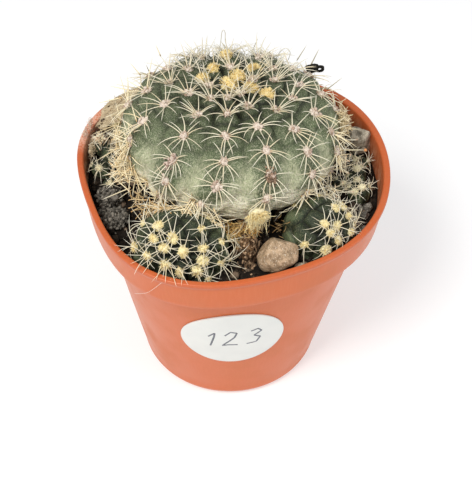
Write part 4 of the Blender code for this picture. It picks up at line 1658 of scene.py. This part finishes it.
# How far each spine is turned from down the rib. Two of them are missing on every areole
TURNS = (-158, -124, -98, -74, -50, -22, 4, 28, 52, 76, 100, 126, 162)
WOOLLY_TURNS = (-150, -105, -60, 0, 60, 105, 150)
YOUNG_BEFORE = 36.0
TUFTED_BEFORE = 33.0
draw = random.Random(11)
pale, straw = [], []
for areole in AREOLES["stem_main"]:
    share = straw_share(areole)
    young = areole.polar < YOUNG_BEFORE
    turns = WOOLLY_TURNS if areole.woolly else TURNS
    dropped = draw.sample(turns, 2)
    for turn in turns:
        if turn in dropped:
            continue
        upward = max(0.0, (abs(turn) - 80.0) / 100.0)
        length = draw.uniform(4.4, 6.2) * (1.0 - 0.35 * upward)
        lift = draw.uniform(18.0, 40.0) + 14.0 * upward
        curl = draw.uniform(20.0, 42.0)
        if young:
            lift, curl = draw.uniform(38.0, 66.0), draw.uniform(10.0, 35.0)
        if areole.woolly:
            length *= 0.85
        width = draw.uniform(0.115, 0.15) * MM
        root = (0.45 * math.sin(math.radians(turn)), 0.45 * math.cos(math.radians(turn)))
        turn += draw.gauss(0.0, 8.0)
        made = grow(areole, turn, lift, curl, length * MM, width, root, draw.uniform(5.0, 50.0))
        if made:
            (straw if draw.random() < 0.85 * share else pale).append((made, draw.random()))
    for _ in range(4 if areole.polar < TUFTED_BEFORE and not areole.woolly else 0):
        turn, length = draw.uniform(-180.0, 180.0), draw.uniform(2.6, 4.8) * MM
        made = grow(areole, turn, draw.uniform(30.0, 70.0), draw.uniform(0.0, 40.0), length, 0.12 * MM)
        if made:
            pale.append((made, draw.uniform(0.5, 1.0)))
    for _ in range(round(share * 5)):
        turn = draw.uniform(-150.0, 150.0)
        length = draw.uniform(4.5, 8.5) * MM
        made = grow(areole, turn, draw.uniform(8.0, 55.0), draw.uniform(-8.0, 14.0), length, 0.155 * MM)
        if made:
            straw.append((made, draw.random()))
add_copies("stem_main_pale_spines", spine_template, pale, pale_spine)
add_copies("stem_main_straw_spines", spine_template, straw, straw_spine)

# %% Spines of the offsets
# The number of spines of an areole and their reach in millimetres
SPINES_OF = {"offset_front_left": (9, 7.0), "offset_front_right": (9, 5.6)}
SPINES_OF_SMALL = (10, 4.2)
draw = random.Random(12)
for slot, names in (
    ("offset_dark", ("offset_front_left", "offset_front_right")),
    ("offset_small", [stem.form.name for stem in SMALL_OFFSETS]),
):
    needles = []
    for name in names:
        count, reach = SPINES_OF.get(name, SPINES_OF_SMALL)
        for areole in AREOLES[name]:
            for k in range(count):
                turn = 360.0 * (k + draw.uniform(-0.5, 0.5)) / count
                turn -= 360.0 if turn > 180.0 else 0.0
                length = reach * draw.uniform(0.62, 1.14) * (1.0 if abs(turn) < 100.0 else 0.72)
                lift, curl = draw.uniform(22.0, 62.0), draw.uniform(25.0, 85.0)
                width = draw.uniform(0.082, 0.108) * MM
                made = grow(areole, turn, lift, curl, length * MM, width, sweep=draw.uniform(0.0, 20.0))
                if made:
                    needles.append((made, draw.random()))
    add_copies(f"{slot}_spines", spine_template, needles, white_spine, slot)

# %% [markdown]
# The wool is the same tube with fewer sides and rings. On a thick young pad the hairs stand up and
# lean outwards, and on old felt a few short ones lie nearly flat.

# %% Felt and wool of every areole
HAIRS_ON_CROWN = 150
HAIRS_ON_PAD = 90
HAIRS_ON_OLD = 22
CLUMPS = 7
HAIR_WIDTH = 0.07 * MM


def tuft(areole, sizes, count, length, draw):
    """Hairs over a cushion, longest and most upright in its middle."""
    hairs = []
    for _ in range(count):
        reach, turn = math.sqrt(draw.random()), draw.uniform(0.0, 360.0)
        side = sizes[0] * reach * math.sin(math.radians(turn))
        down = sizes[1] * reach * math.cos(math.radians(turn))
        foot = areole.point(side, down, sizes[2] * 0.7 * math.sqrt(max(0.0, 1.0 - reach**2)))
        start = areole.direction(turn, 90.0 - (45.0 if areole.woolly else 60.0) * reach)
        lift = (72.0 if areole.woolly else 60.0) - 60.0 * reach
        end = areole.direction(turn + draw.uniform(-60.0, 60.0), lift)
        path = bent(foot, start, end, length * draw.uniform(0.6, 1.1) * (1.0 - 0.3 * reach))
        hairs.append((strung(path, HAIR_WIDTH, 0.5), draw.random()))
    return hairs


draw = random.Random(13)
for slot, names, felts, wools in (
    ("stem_main", ("stem_main",), (old_felt, golden_felt), (old_wool, golden_wool)),
    ("offset_dark", ("offset_front_left", "offset_front_right"), (yellow_felt,) * 2, (yellow_wool,) * 2),
    ("offset_small", [stem.form.name for stem in SMALL_OFFSETS], (pale_felt,) * 2, (pale_wool,) * 2),
):
    on_young = HAIRS_ON_CROWN if slot == "stem_main" else HAIRS_ON_PAD
    for word, count, felt, wool in zip(("old", "young"), (HAIRS_ON_OLD, on_young), felts, wools):
        young = word == "young"
        pads, cushions, hairs = [], [], []
        for areole in [one for name in names for one in AREOLES[name] if one.woolly == young]:
            sizes = cushion_size(areole, draw)
            base = cushion(areole, *(0.94 * size for size in sizes), draw, 0.55)
            (pads if young else cushions).append((base, 0.8))
            cushions += clumps(areole, sizes, CLUMPS, draw)
            length = 0.70 * areole.stem.pad_radius if young else 0.5
            hairs += tuft(areole, sizes, count, length * MM, draw)
        if pads:
            add_copies(f"{slot}_pads", large_ball, pads, felt, slot)
        if cushions:
            add_copies(f"{slot}_{word}_felt", small_ball, cushions, felt, slot)
            add_copies(f"{slot}_{word}_wool", hair_template, hairs, wool, slot)

# %% [markdown]
# ## Straw tufts, mats and tangles
#
# Down both flanks and along its foot the big stem carries areoles with long straw-yellow spines,
# which run into one golden strand. Old spines and wool also stay caught in the gaps: a soft beige mat
# lies between the stem and the pot's wall at the back left, a small knot at the right, and a brown
# and straw-coloured tangle under the foot.

# %% Straw tufts
# Each is the azimuth and the polar angle of an areole, the number of its spines and their reach
STRAW_TUFTS = (
    (-66, 62, 8, 5.5),
    (-62, 76, 12, 6.0),
    (-60, 88, 14, 6.5),
    (-55, 99, 15, 6.5),
    (-46, 106, 13, 5.5),
    (-33, 107, 10, 4.5),
    (-9, 99, 13, 5.0),
    (77, 76, 7, 4.5),
    (72, 92, 10, 5.0),
    (58, 103, 11, 5.0),
    (44, 106, 9, 4.5),
)
TUFT_FELT = (0.6 * MM, 0.8 * MM, 0.45 * MM)
draw = random.Random(14)
needles, clods = [], []
for azimuth, polar, count, reach in STRAW_TUFTS:
    areole = areole_at(MAIN_STEM, azimuth, polar, False)
    for _ in range(count):
        turn = draw.uniform(-170.0, 170.0)
        length = reach * draw.uniform(0.6, 1.15) * (1.0 if abs(turn) < 110.0 else 0.7) * MM
        root = (draw.gauss(0.0, 0.4), draw.gauss(0.0, 0.7))
        lift, curl = draw.uniform(12.0, 62.0), draw.uniform(-5.0, 40.0)
        made = grow(areole, turn, lift, curl, length, draw.uniform(0.11, 0.15) * MM, root)
        if made:
            needles.append((made, draw.random()))
    clods += clumps(areole, TUFT_FELT, CLUMPS, draw)
add_copies("straw_tufts", spine_template, needles, straw_spine)
add_copies("straw_tuft_felt", small_ball, clods, old_felt)

# %% [markdown]
# Each mat, knot, web and tangle is a few clouds of thin bent fibres. A cloud's fibres are drawn
# within a soft box round its centre, and those that would cross the pot, the soil or a stem are left
# out. Strands of a hair system could be combed into the same shapes, but would be lost in an export.
# The mat and the knot have lumps of felt in them too, that make them dense.


# %% Clouds of fibres
@dataclass
class Cloud:
    """Fibres in a soft box, in millimetres: its centre, half sizes, their number and lengths."""

    centre: tuple
    spread: tuple
    count: int
    lengths: tuple
    flatness: float = 0.5
    width: float = 0.08
    bend: float = 0.6


MAT = (
    Cloud((-30.2, 12.2, 48.6), (0.4, 1.6, 1.0), 45, (0.9, 2.0), 0.5, 0.08, 1.2),
    Cloud((-29.9, 9.2, 48.4), (0.5, 1.8, 1.2), 120, (0.9, 2.2), 0.5, 0.07, 1.2),
    Cloud((-25.8, 20.6, 51.2), (1.4, 1.4, 0.3), 24, (1.0, 2.4), 0.2, 0.06, 1.2),
    Cloud((-22.4, 21.8, 52.0), (1.6, 1.2, 0.4), 24, (1.0, 2.4), 0.2, 0.06, 1.2),
    Cloud((-20.8, 18.8, 53.4), (2.0, 1.6, 0.8), 50, (1.2, 3.2), 0.3, 0.07, 1.2),
    Cloud((-18.2, 21.6, 53.4), (2.2, 1.4, 0.8), 60, (1.2, 3.2), 0.4, 0.07, 1.2),
    Cloud((-23.4, 12.0, 53.2), (0.9, 2.2, 1.4), 30, (1.4, 3.6), 0.5, 0.08, 0.9),
    Cloud((-24.2, 6.4, 53.6), (1.0, 2.4, 2.0), 30, (1.4, 4.2), 0.5, 0.08, 0.9),
)
LEFT_STAR = (
    Cloud((-28.3, 10.9, 49.8), (0.9, 0.9, 0.6), 120, (1.0, 2.8), 0.9, 0.12, 0.35),
)
RIM_HAIRS = (
    Cloud((-30.6, 14.4, 50.95), (0.5, 1.8, 0.1), 45, (0.7, 1.5), 0.1, 0.05, 0.9),
    Cloud((-31.3, 11.4, 50.95), (0.4, 1.6, 0.1), 35, (0.7, 1.4), 0.1, 0.05, 0.9),
)
KNOT = (
    Cloud((22.9, 7.6, 58.4), (1.0, 2.2, 2.6), 220, (1.2, 3.4), 0.5, 0.1, 1.0),
)
RIGHT_WEB = (
    Cloud((23.0, 2.5, 54.0), (0.9, 3.8, 2.4), 26, (2.5, 5.5), 0.8, 0.13, 0.3),
    Cloud((20.6, -6.0, 51.8), (1.8, 2.4, 1.6), 22, (2.5, 5.0), 0.7, 0.13, 0.3),
)
STRAND = (
    Cloud((-22.0, -1.5, 54.4), (0.9, 4.0, 2.6), 96, (3.0, 6.5), 0.9, 0.12, 0.3),
    Cloud((-22.6, 3.0, 57.0), (0.8, 3.0, 2.4), 26, (2.5, 5.5), 0.9, 0.12, 0.3),
    Cloud((-8.0, -16.0, 55.6), (2.4, 0.7, 0.8), 16, (2.5, 5.5), 0.4, 0.11, 0.3),
    Cloud((-3.6, -17.0, 53.8), (2.6, 0.8, 1.0), 20, (2.0, 5.0), 0.45, 0.11, 0.35),
    Cloud((15.6, -10.8, 51.4), (2.4, 1.6, 1.4), 60, (2.0, 4.5), 0.7, 0.11, 0.3),
)
FRINGE = (
    Cloud((-18.6, -8.6, 50.8), (1.2, 2.0, 1.8), 18, (2.5, 5.5), 0.7, 0.11, 0.3),
    Cloud((-16.2, -11.2, 50.4), (1.2, 1.8, 1.4), 18, (2.5, 5.0), 0.7, 0.11, 0.3),
    Cloud((-13.0, -13.8, 50.8), (2.0, 1.0, 1.2), 30, (2.5, 5.5), 0.7, 0.11, 0.3),
    Cloud((-15.0, -12.4, 53.0), (1.4, 0.9, 1.0), 14, (2.5, 5.5), 0.5, 0.11, 0.3),
    Cloud((-11.8, -14.6, 54.8), (2.2, 0.8, 0.8), 24, (2.5, 5.5), 0.4, 0.11, 0.3),
    Cloud((-8.0, -15.6, 54.6), (2.4, 0.7, 0.8), 16, (2.5, 5.0), 0.4, 0.1, 0.4),
)
GOLDEN_THREADS = (
    Cloud((0.8, -15.4, 49.4), (2.0, 1.2, 1.6), 80, (0.8, 2.4), 0.8, 0.11, 0.8),
    Cloud((4.2, -15.2, 49.8), (1.6, 1.0, 1.4), 60, (0.8, 2.6), 0.9, 0.1, 0.8),
)
TANGLE = (
    Cloud((-13.5, -12.6, 50.2), (4.0, 1.4, 1.4), 24, (1.2, 3.6), 0.35, 0.08),
    Cloud((-7.0, -15.2, 49.2), (4.5, 1.2, 1.6), 110, (1.0, 3.4), 0.35, 0.09),
    Cloud((2.6, -14.4, 49.0), (3.4, 1.6, 2.0), 100, (1.0, 3.4), 0.6, 0.09),
    Cloud((12.0, -13.4, 48.8), (3.4, 1.5, 1.8), 12, (1.2, 3.8), 0.35, 0.09),
)

# %% Fibres and felt of a cloud
FIBRE_TRIES = 5


def cloud_fibres(clouds, draw):
    """Fibres through the clouds. One that has no room is drawn again, a few times in all."""
    found = []
    for cloud in clouds:
        centre = Vector(cloud.centre)
        made = 0
        for _ in range(cloud.count * FIBRE_TRIES):
            if made == cloud.count:
                break
            offset = Vector([draw.gauss(0.0, 0.5) * half for half in cloud.spread])
            heading = random_vector(draw)
            heading.z *= cloud.flatness
            heading.normalize()
            end = (heading + random_vector(draw, cloud.bend)).normalized()
            length = draw.uniform(*cloud.lengths) * MM
            root = (centre + offset) * MM - heading * length * 0.5
            path = bent(root, heading, end, length)
            if not blocked(path, None) and not blocked(lambda share, line=path: line(1.0 - share), None):
                width = draw.uniform(0.75, 1.25) * cloud.width * MM
                found.append((strung(path, width, 0.5), draw.random()))
                made += 1
    return found


def cloud_felt(clouds, share, draw):
    """Flat lumps of felt through the clouds, one for so many fibres."""
    lumps = []
    for cloud in clouds:
        for _ in range(round(cloud.count * share)):
            offset = Vector([draw.gauss(0.0, 0.4) * half for half in cloud.spread])
            place = (Vector(cloud.centre) + offset) * MM
            if not blocked(lambda share, here=place: here, None):
                radius = draw.uniform(0.3, 0.65) * MM
                lumps.append((rough_lump(place, radius, draw), draw.random()))
    return lumps


# %% Mat, knot, webs and tangles
draw = random.Random(21)
mat_felt = felt_finish("mat_felt", (158, 136, 106), (214, 196, 162))
knot_felt = felt_finish("knot_felt", (172, 152, 112), (218, 204, 164))
root_fibre = fibre_finish("root_fibre", (136, 98, 56), (208, 174, 120), (236, 212, 166), (146, 106, 66))
add_copies("mat_fibres", hair_template, cloud_fibres(MAT, draw), mat_fibre)
add_copies("mat_lumps", small_ball, cloud_felt(MAT, 0.06, draw), mat_felt)
add_copies("left_star", spine_template, cloud_fibres(LEFT_STAR, draw), pale_spine)
add_copies("rim_hairs", hair_template, cloud_fibres(RIM_HAIRS, draw), old_wool)
add_copies("knot_fibres", hair_template, cloud_fibres(KNOT, draw), knot_fibre)
add_copies("knot_lumps", small_ball, cloud_felt(KNOT, 0.12, draw), knot_felt)
add_copies("right_web", spine_template, cloud_fibres(RIGHT_WEB, draw), pale_spine)
add_copies("strand_spines", spine_template, cloud_fibres(STRAND, draw), straw_spine)
gold_spine = fibre_finish(
    "gold_spine", (202, 160, 104), (240, 214, 164), (250, 236, 204), (216, 178, 120)
)
add_copies("fringe_spines", spine_template, cloud_fibres(FRINGE, draw), gold_spine)
add_copies("foot_tangle", hair_template, cloud_fibres(TANGLE, draw), root_fibre, "bark")
gold_thread = fibre_finish(
    "gold_thread", (228, 166, 80), (255, 224, 148), (255, 244, 196), (196, 134, 62)
)
add_copies("golden_threads", hair_template, cloud_fibres(GOLDEN_THREADS, draw), gold_thread, "bark")

# %% [markdown]
# ## Felted sheet
#
# At the back left old wool has felted into one thin sheet that hangs between the stem's flank and
# the pot's lip, worn through in holes and frayed at both ends. A cloth simulation would settle in its
# own way. Here a grid is laid from the lip to the stem along the rim, the faces in its holes and
# beyond its ragged edges are deleted, noise roughens it, and Solidify gives it its thickness. Short
# hairs then hide how even it is.

# %% Felted sheet
# The sheet's two ends, in degrees: round the pot from +X, and down the stem from its crown
SHEET_TURNS = (119.0, 163.0)
SHEET_POLARS = (70.0, 84.0)
SHEET_CELLS = (150, 44)
SHEET_SAG = 0.9 * MM
SHEET_ROUGH = 0.55 * MM
SHEET_THICKNESS = 0.22 * MM
# Up to this share along the sheet its edge lies over the lip, and after it just inside
SHEET_OVER = 0.64
# Each hole is how far it is along the sheet and across it, and its half sizes both ways
SHEET_HOLES = (
    (0.55, 0.30, 0.016, 0.050),
    (0.55, 0.425, 0.014, 0.042),
    (0.58, 0.175, 0.012, 0.036),
    (0.73, 0.50, 0.026, 0.064),
    (0.73, 0.15, 0.024, 0.066),
    (0.79, 0.175, 0.019, 0.050),
    (0.89, 0.525, 0.052, 0.105),
    (0.90, 0.10, 0.014, 0.036),
    (0.66, 0.70, 0.012, 0.030),
)


def on_sheet(along, across):
    """A point of the sheet: along the rim from the back to the left, across from the lip to the stem."""
    angle, polar = (math.radians(a + (b - a) * along) for a, b in (SHEET_TURNS, SHEET_POLARS))
    over = 1.0 / (1.0 + math.exp((along - SHEET_OVER) * 30.0))
    reach = inner_radius(POT_HEIGHT) * press(angle, POT_HEIGHT) + (over * 1.9 - 0.3) * MM
    lip = Vector((reach * math.cos(angle), reach * math.sin(angle), POT_HEIGHT + (over * 0.6 - 0.3) * MM))
    turn = MAIN_STEM.form.matrix()
    away = lip - turn.translation
    stem = turn @ MAIN_STEM.form.point(math.atan2(away.x, -away.y), polar, 0.97)
    place = lip.lerp(stem, across)
    place.z -= SHEET_SAG * math.sin(math.pi * across) ** 2
    return place


def torn(along, across):
    """Whether the sheet is missing here: in a hole, or beyond its ragged edges."""
    place = on_sheet(along, across)
    ragged = 0.06 * noise.noise(place / (0.9 * MM))
    if across < 0.02 + ragged * along or along > 0.80 + 0.20 * across + ragged:
        return True
    if along < 0.10 + 0.16 * noise.noise(place / (2.6 * MM)) + 2.0 * ragged:
        return True
    edge = 1.0 + 0.2 * noise.noise(place / (0.7 * MM))
    for hole_along, hole_across, long, wide in SHEET_HOLES:
        if math.hypot((along - hole_along) / long, (across - hole_across) / wide) < edge:
            return True
    return False


# %% Sheet mesh
bm = bmesh.new()
bmesh.ops.create_grid(bm, x_segments=SHEET_CELLS[0], y_segments=SHEET_CELLS[1], size=0.5)
tints = bm.verts.layers.float.new("tint")
middles = [(face, face.calc_center_median()) for face in bm.faces]
gone = [face for face, middle in middles if torn(middle.x + 0.5, middle.y + 0.5)]
bmesh.ops.delete(bm, geom=gone, context="FACES")
for vert in bm.verts:
    place = on_sheet(vert.co.x + 0.5, vert.co.y + 0.5)
    rough = noise.noise(place / (1.3 * MM)) * 0.6 + noise.noise(place / (0.45 * MM)) * 0.4
    vert[tints] = 0.6 + 0.7 * noise.noise(place / (0.8 * MM))
    vert.co = place + Vector((0.2, -0.3, 1.0)) * rough * SHEET_ROUGH
bmesh.ops.solidify(bm, geom=bm.faces[:], thickness=SHEET_THICKNESS)
bmesh.ops.recalc_face_normals(bm, faces=bm.faces)
add_piece("mat_sheet", bm, mat_felt, "stem_main")

# %% Fuzz on the sheet
FUZZ_TRIES = 900
draw = random.Random(23)
fuzz = []
for _ in range(FUZZ_TRIES):
    along, across = draw.uniform(0.05, 0.97), draw.uniform(0.05, 0.97)
    heading = Vector((draw.gauss(0.0, 1.0), draw.gauss(0.0, 1.0), draw.uniform(0.1, 0.9))).normalized()
    end = Vector((draw.gauss(0.0, 1.0), draw.gauss(0.0, 1.0), draw.uniform(-0.8, 0.2))).normalized()
    if not torn(along, across):
        path = bent(on_sheet(along, across), heading, end, draw.uniform(0.6, 1.5) * MM)
        fuzz.append((strung(path, 0.065 * MM, 0.5), draw.random()))
add_copies("sheet_fuzz", hair_template, fuzz, mat_fibre)

# %% [markdown]
# A few spines stand out alone against the light or lie on the lip, where the eye finds them. They are
# drawn one by one from the photograph, each by its two ends.

# %% Long single spines
# Each is its root and its tip in millimetres
LONG_SPINES = (
    ((-20.3, -6.2, 52.2), (-26.0, -8.9, 51.3)),
    ((-20.2, -5.0, 56.6), (-25.2, -6.9, 52.2)),
    ((-20.6, -3.0, 55.0), (-26.2, -4.2, 53.4)),
    ((-21.0, 13.7, 61.0), (-26.2, 14.3, 61.8)),
    ((-23.0, 12.1, 60.4), (-28.6, 12.9, 58.0)),
    ((-19.4, 17.6, 62.0), (-21.7, 18.4, 64.9)),
    ((-15.3, 22.0, 63.6), (-16.4, 22.8, 66.3)),
    ((22.4, 1.9, 56.0), (27.6, 2.2, 55.8)),
)
GREY_SPINES = (
    ((13.6, 22.0, 63.0), (15.6, 23.0, 66.5)),
    ((16.4, 20.4, 62.8), (18.1, 21.3, 66.8)),
    ((19.8, 15.0, 61.0), (23.0, 15.7, 63.8)),
    ((4.0, 24.0, 63.4), (5.3, 24.9, 66.6)),
)
LIP_SPINES = (
    ((-13.0, -26.0, 51.3), (-13.9, -29.9, 50.85)),
    ((-12.0, -26.3, 51.4), (-12.1, -30.6, 50.80)),
    ((-11.2, -26.8, 51.2), (-9.9, -31.4, 50.75)),
    ((-9.8, -26.6, 51.4), (-7.7, -30.9, 50.75)),
    ((-14.8, -25.0, 51.2), (-16.6, -28.3, 50.80)),
    ((-8.8, -27.0, 51.2), (-9.0, -31.0, 50.75)),
)


def straight_needles(ends, width):
    """A placing for each pair of ends, with this width in millimetres."""
    found = []
    for root, tip in ends:
        root, tip = Vector(root) * MM, Vector(tip) * MM
        heading = (tip - root).normalized()
        found.append((strung(bent(root, heading, heading, (tip - root).length), width * MM), 0.2))
    return found


grey_spine = fibre_finish(
    "grey_spine", (176, 160, 130), (178, 168, 138), (196, 186, 158), (160, 148, 118)
)
needles = straight_needles(LONG_SPINES, 0.17) + straight_needles(LIP_SPINES, 0.09)
add_copies("long_straw_spines", spine_template, needles, straw_spine)
needles = straight_needles(GREY_SPINES, 0.16)
add_copies("long_grey_spines", spine_template, needles, grey_spine)
TIP_RADIUS = 0.34 * MM
tip_finish = Finish("orange_tip").surface(Base_Color=tone(208, 142, 86), Roughness=0.7)
bm = bmesh.new()
spike_tip = Matrix.Translation(Vector(LONG_SPINES[-1][1]) * MM)
bmesh.ops.create_icosphere(bm, subdivisions=2, radius=TIP_RADIUS, matrix=spike_tip)
add_piece("spike_tip", bm, tip_finish, "stem_main")

# %% [markdown]
# ## Small finds
#
# The little things that make this plant one of its kind: a yellow bud with its own bristles at the
# big stem's foot, a dead brown areole, a curled black scrap caught in the spines at the back, a pale
# curled hair that stands up behind the crown, and a hair that clings to the pot's front. The bud is
# a felt pad with many more hairs, and the curls are tubes strung along a smooth line through a few
# points. Curve objects would bend as well, but these copies go through the same code as the spines.

# %% Bud and dead areole
BUD = (21.5, 108.0)
BUD_SHIFT = Vector((0.0, -1.6, 0.6)) * MM
BUD_SIZES = (2.0 * MM, 2.0 * MM, 1.5 * MM)
BUD_HAIRS = 520
BUD_BRISTLES = 90
WORN_AREOLES = (
    ("dead_areole", (22.0, 73.0), 80, (58, 42, 34), (178, 148, 122)),
    ("pink_areole", (-32.0, 69.0), 50, (146, 112, 98), (232, 212, 196)),
)
draw = random.Random(31)
bud = areole_at(MAIN_STEM, *BUD, True)
bud = replace(bud, place=bud.place + BUD_SHIFT)
hairs = tuft(bud, BUD_SIZES, BUD_HAIRS, 1.5 * MM, draw)
for _ in range(BUD_BRISTLES):
    path = bent(
        bud.point(draw.gauss(0.0, 0.9) * MM, draw.gauss(0.0, 0.6) * MM, 0.6 * MM),
        bud.direction(draw.gauss(0.0, 75.0), draw.uniform(5.0, 70.0)),
        bud.direction(draw.gauss(0.0, 60.0), draw.uniform(-30.0, 50.0)),
        draw.uniform(1.8, 4.6) * MM,
    )
    hairs.append((strung(path, 0.085 * MM), draw.random()))
bud_felt = felt_finish("bud_felt", (246, 216, 152), (255, 249, 212))
bud_wool = fibre_finish("bud_wool", (255, 214, 136), (255, 240, 184), (255, 248, 214), (255, 220, 146))
lumps = [(cushion(bud, *(0.9 * size for size in BUD_SIZES), draw, 0.3), 0.6)]
add_copies("bud_felt", large_ball, lumps, bud_felt)
add_copies("bud_bristles", hair_template, hairs, bud_wool)

for name, spot, count, deep, light in WORN_AREOLES:
    worn = areole_at(MAIN_STEM, *spot, False)
    lumps = []
    for _ in range(count):
        side, down = draw.gauss(0.0, 0.55) * MM, draw.gauss(0.0, 0.85) * MM
        lump = replace(worn, place=worn.point(side, down, draw.uniform(0.0, 0.7) * MM))
        sizes = [draw.uniform(0.12, 0.34) * MM for _ in range(3)]
        lumps.append((cushion(lump, *sizes, draw), draw.random()))
    add_copies(name, small_ball, lumps, felt_finish(f"{name}_felt", deep, light))


# %% Black scrap
def through(points):
    """A smooth line through these points, in millimetres, as a path from 0 to 1."""
    line = [Vector(point) * MM for point in points]

    def path(share):
        at = min(share, 0.999999) * (len(line) - 1)
        k = int(at)
        t = at - k
        before = line[max(0, k - 1)]
        after = line[min(len(line) - 1, k + 2)]
        rise = (line[k + 1] - before) * 0.5
        fall = (after - line[k]) * 0.5
        cubic = line[k] * (2 * t**3 - 3 * t**2 + 1) + rise * (t**3 - 2 * t**2 + t)
        return cubic + line[k + 1] * (3 * t**2 - 2 * t**3) + fall * (t**3 - t**2)

    return path


scrap_finish = earth("black_scrap", (10, 10, 9), (52, 48, 42))
SCRAP_LOOP = (
    (17.2, 19.9, 62.7),
    (18.4, 19.7, 63.3),
    (19.1, 20.0, 62.7),
    (18.8, 20.1, 61.9),
    (18.0, 20.0, 61.9),
    (17.5, 19.9, 62.5),
)
SCRAP_BODY = Vector((16.8, 19.9, 62.9)) * MM


def scrap_body(point):
    dented = point * (1.0 + noise.noise(point * 2.2))
    return SCRAP_BODY + Vector((dented.x * 1.45, dented.y * 0.8, dented.z * 0.95)) * MM


bm = copies(large_ball, [(scrap_body, 0.3)])
pour(copies(curl_template, [(strung(through(SCRAP_LOOP), 0.42 * MM, 0.8), 0.3)]), bm)
add_piece("black_scrap", bm, scrap_finish, "bark")

# %% Curled hairs
CROWN_HAIRS = (
    ((-2.8, 20.5, 66.6), (-2.5, 20.5, 69.3), (-2.3, 20.5, 71.3), (-1.9, 20.5, 71.9), (-1.6, 20.5, 71.0)),
    ((-1.6, 20.5, 71.2), (-1.6, 20.5, 69.3), (-1.3, 20.5, 67.6), (-1.0, 20.4, 66.4)),
    ((-9.4, 20.0, 65.8), (-7.6, 20.0, 67.7), (-6.0, 20.0, 68.3), (-4.6, 20.0, 68.1), (-3.0, 20.0, 66.6)),
    ((-7.9, 19.0, 65.0), (-7.2, 19.0, 67.6), (-5.9, 19.0, 68.6), (-4.9, 19.0, 67.3), (-5.6, 19.0, 65.0)),
    ((-1.2, 20.5, 66.6), (0.2, 20.5, 68.3), (1.5, 20.5, 67.9), (2.6, 20.5, 65.8)),
    ((8.9, 20.0, 64.6), (10.0, 20.0, 67.0), (11.1, 20.0, 67.8), (12.0, 20.0, 66.6), (11.6, 20.0, 64.6)),
    ((-12.2, 18.5, 64.2), (-11.1, 18.5, 67.0), (-9.5, 18.5, 67.6), (-8.5, 18.5, 65.4)),
)
WISPS = 150
wisp = fibre_finish("wisp", (222, 216, 200), (230, 226, 212), (238, 236, 226), (214, 206, 186))
draw = random.Random(41)
hairs = [(strung(through(line), 0.12 * MM, 0.8), 0.2) for line in CROWN_HAIRS]
for _ in range(WISPS):
    azimuth, polar = draw.uniform(110.0, 245.0), draw.uniform(24.0, 46.0)
    foot = areole_at(MAIN_STEM, azimuth, polar, False)
    line = [foot.place / MM]
    for _ in range(3):
        step = Vector([draw.gauss(0.0, 0.7), draw.gauss(0.0, 0.5), draw.uniform(-0.2, 0.75)])
        line.append(line[-1] + step + foot.out * 0.35)
    hairs.append((strung(through(line), 0.06 * MM, 0.6), draw.random()))
add_copies("crown_hairs", curl_template, hairs, wisp)

POT_HAIR = (
    (-11.0, -29.3, 50.60),
    (-12.8, -29.3, 49.50),
    (-14.4, -28.4, 46.80),
    (-16.2, -27.0, 43.70),
    (-18.9, -24.6, 40.60),
)
hairs = [(strung(through(POT_HAIR), 0.035 * MM, 0.8), 0.2)]
add_copies("pot_hair", curl_template, hairs, wisp, "pot")

# %% [markdown]
# ## Size
#
# The sizes of both boxes, the imported model's and the dressed model's, are printed in millimetres.
# The dressed model has to stay in the imported model's box, with a few percent to spare.

# %% Size and finish
dressed_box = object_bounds()
for name, box in (("packed", cad_box), ("dressed", dressed_box)):
    print(name, [round((high - low) / MM, 1) for low, high in zip(*box)])
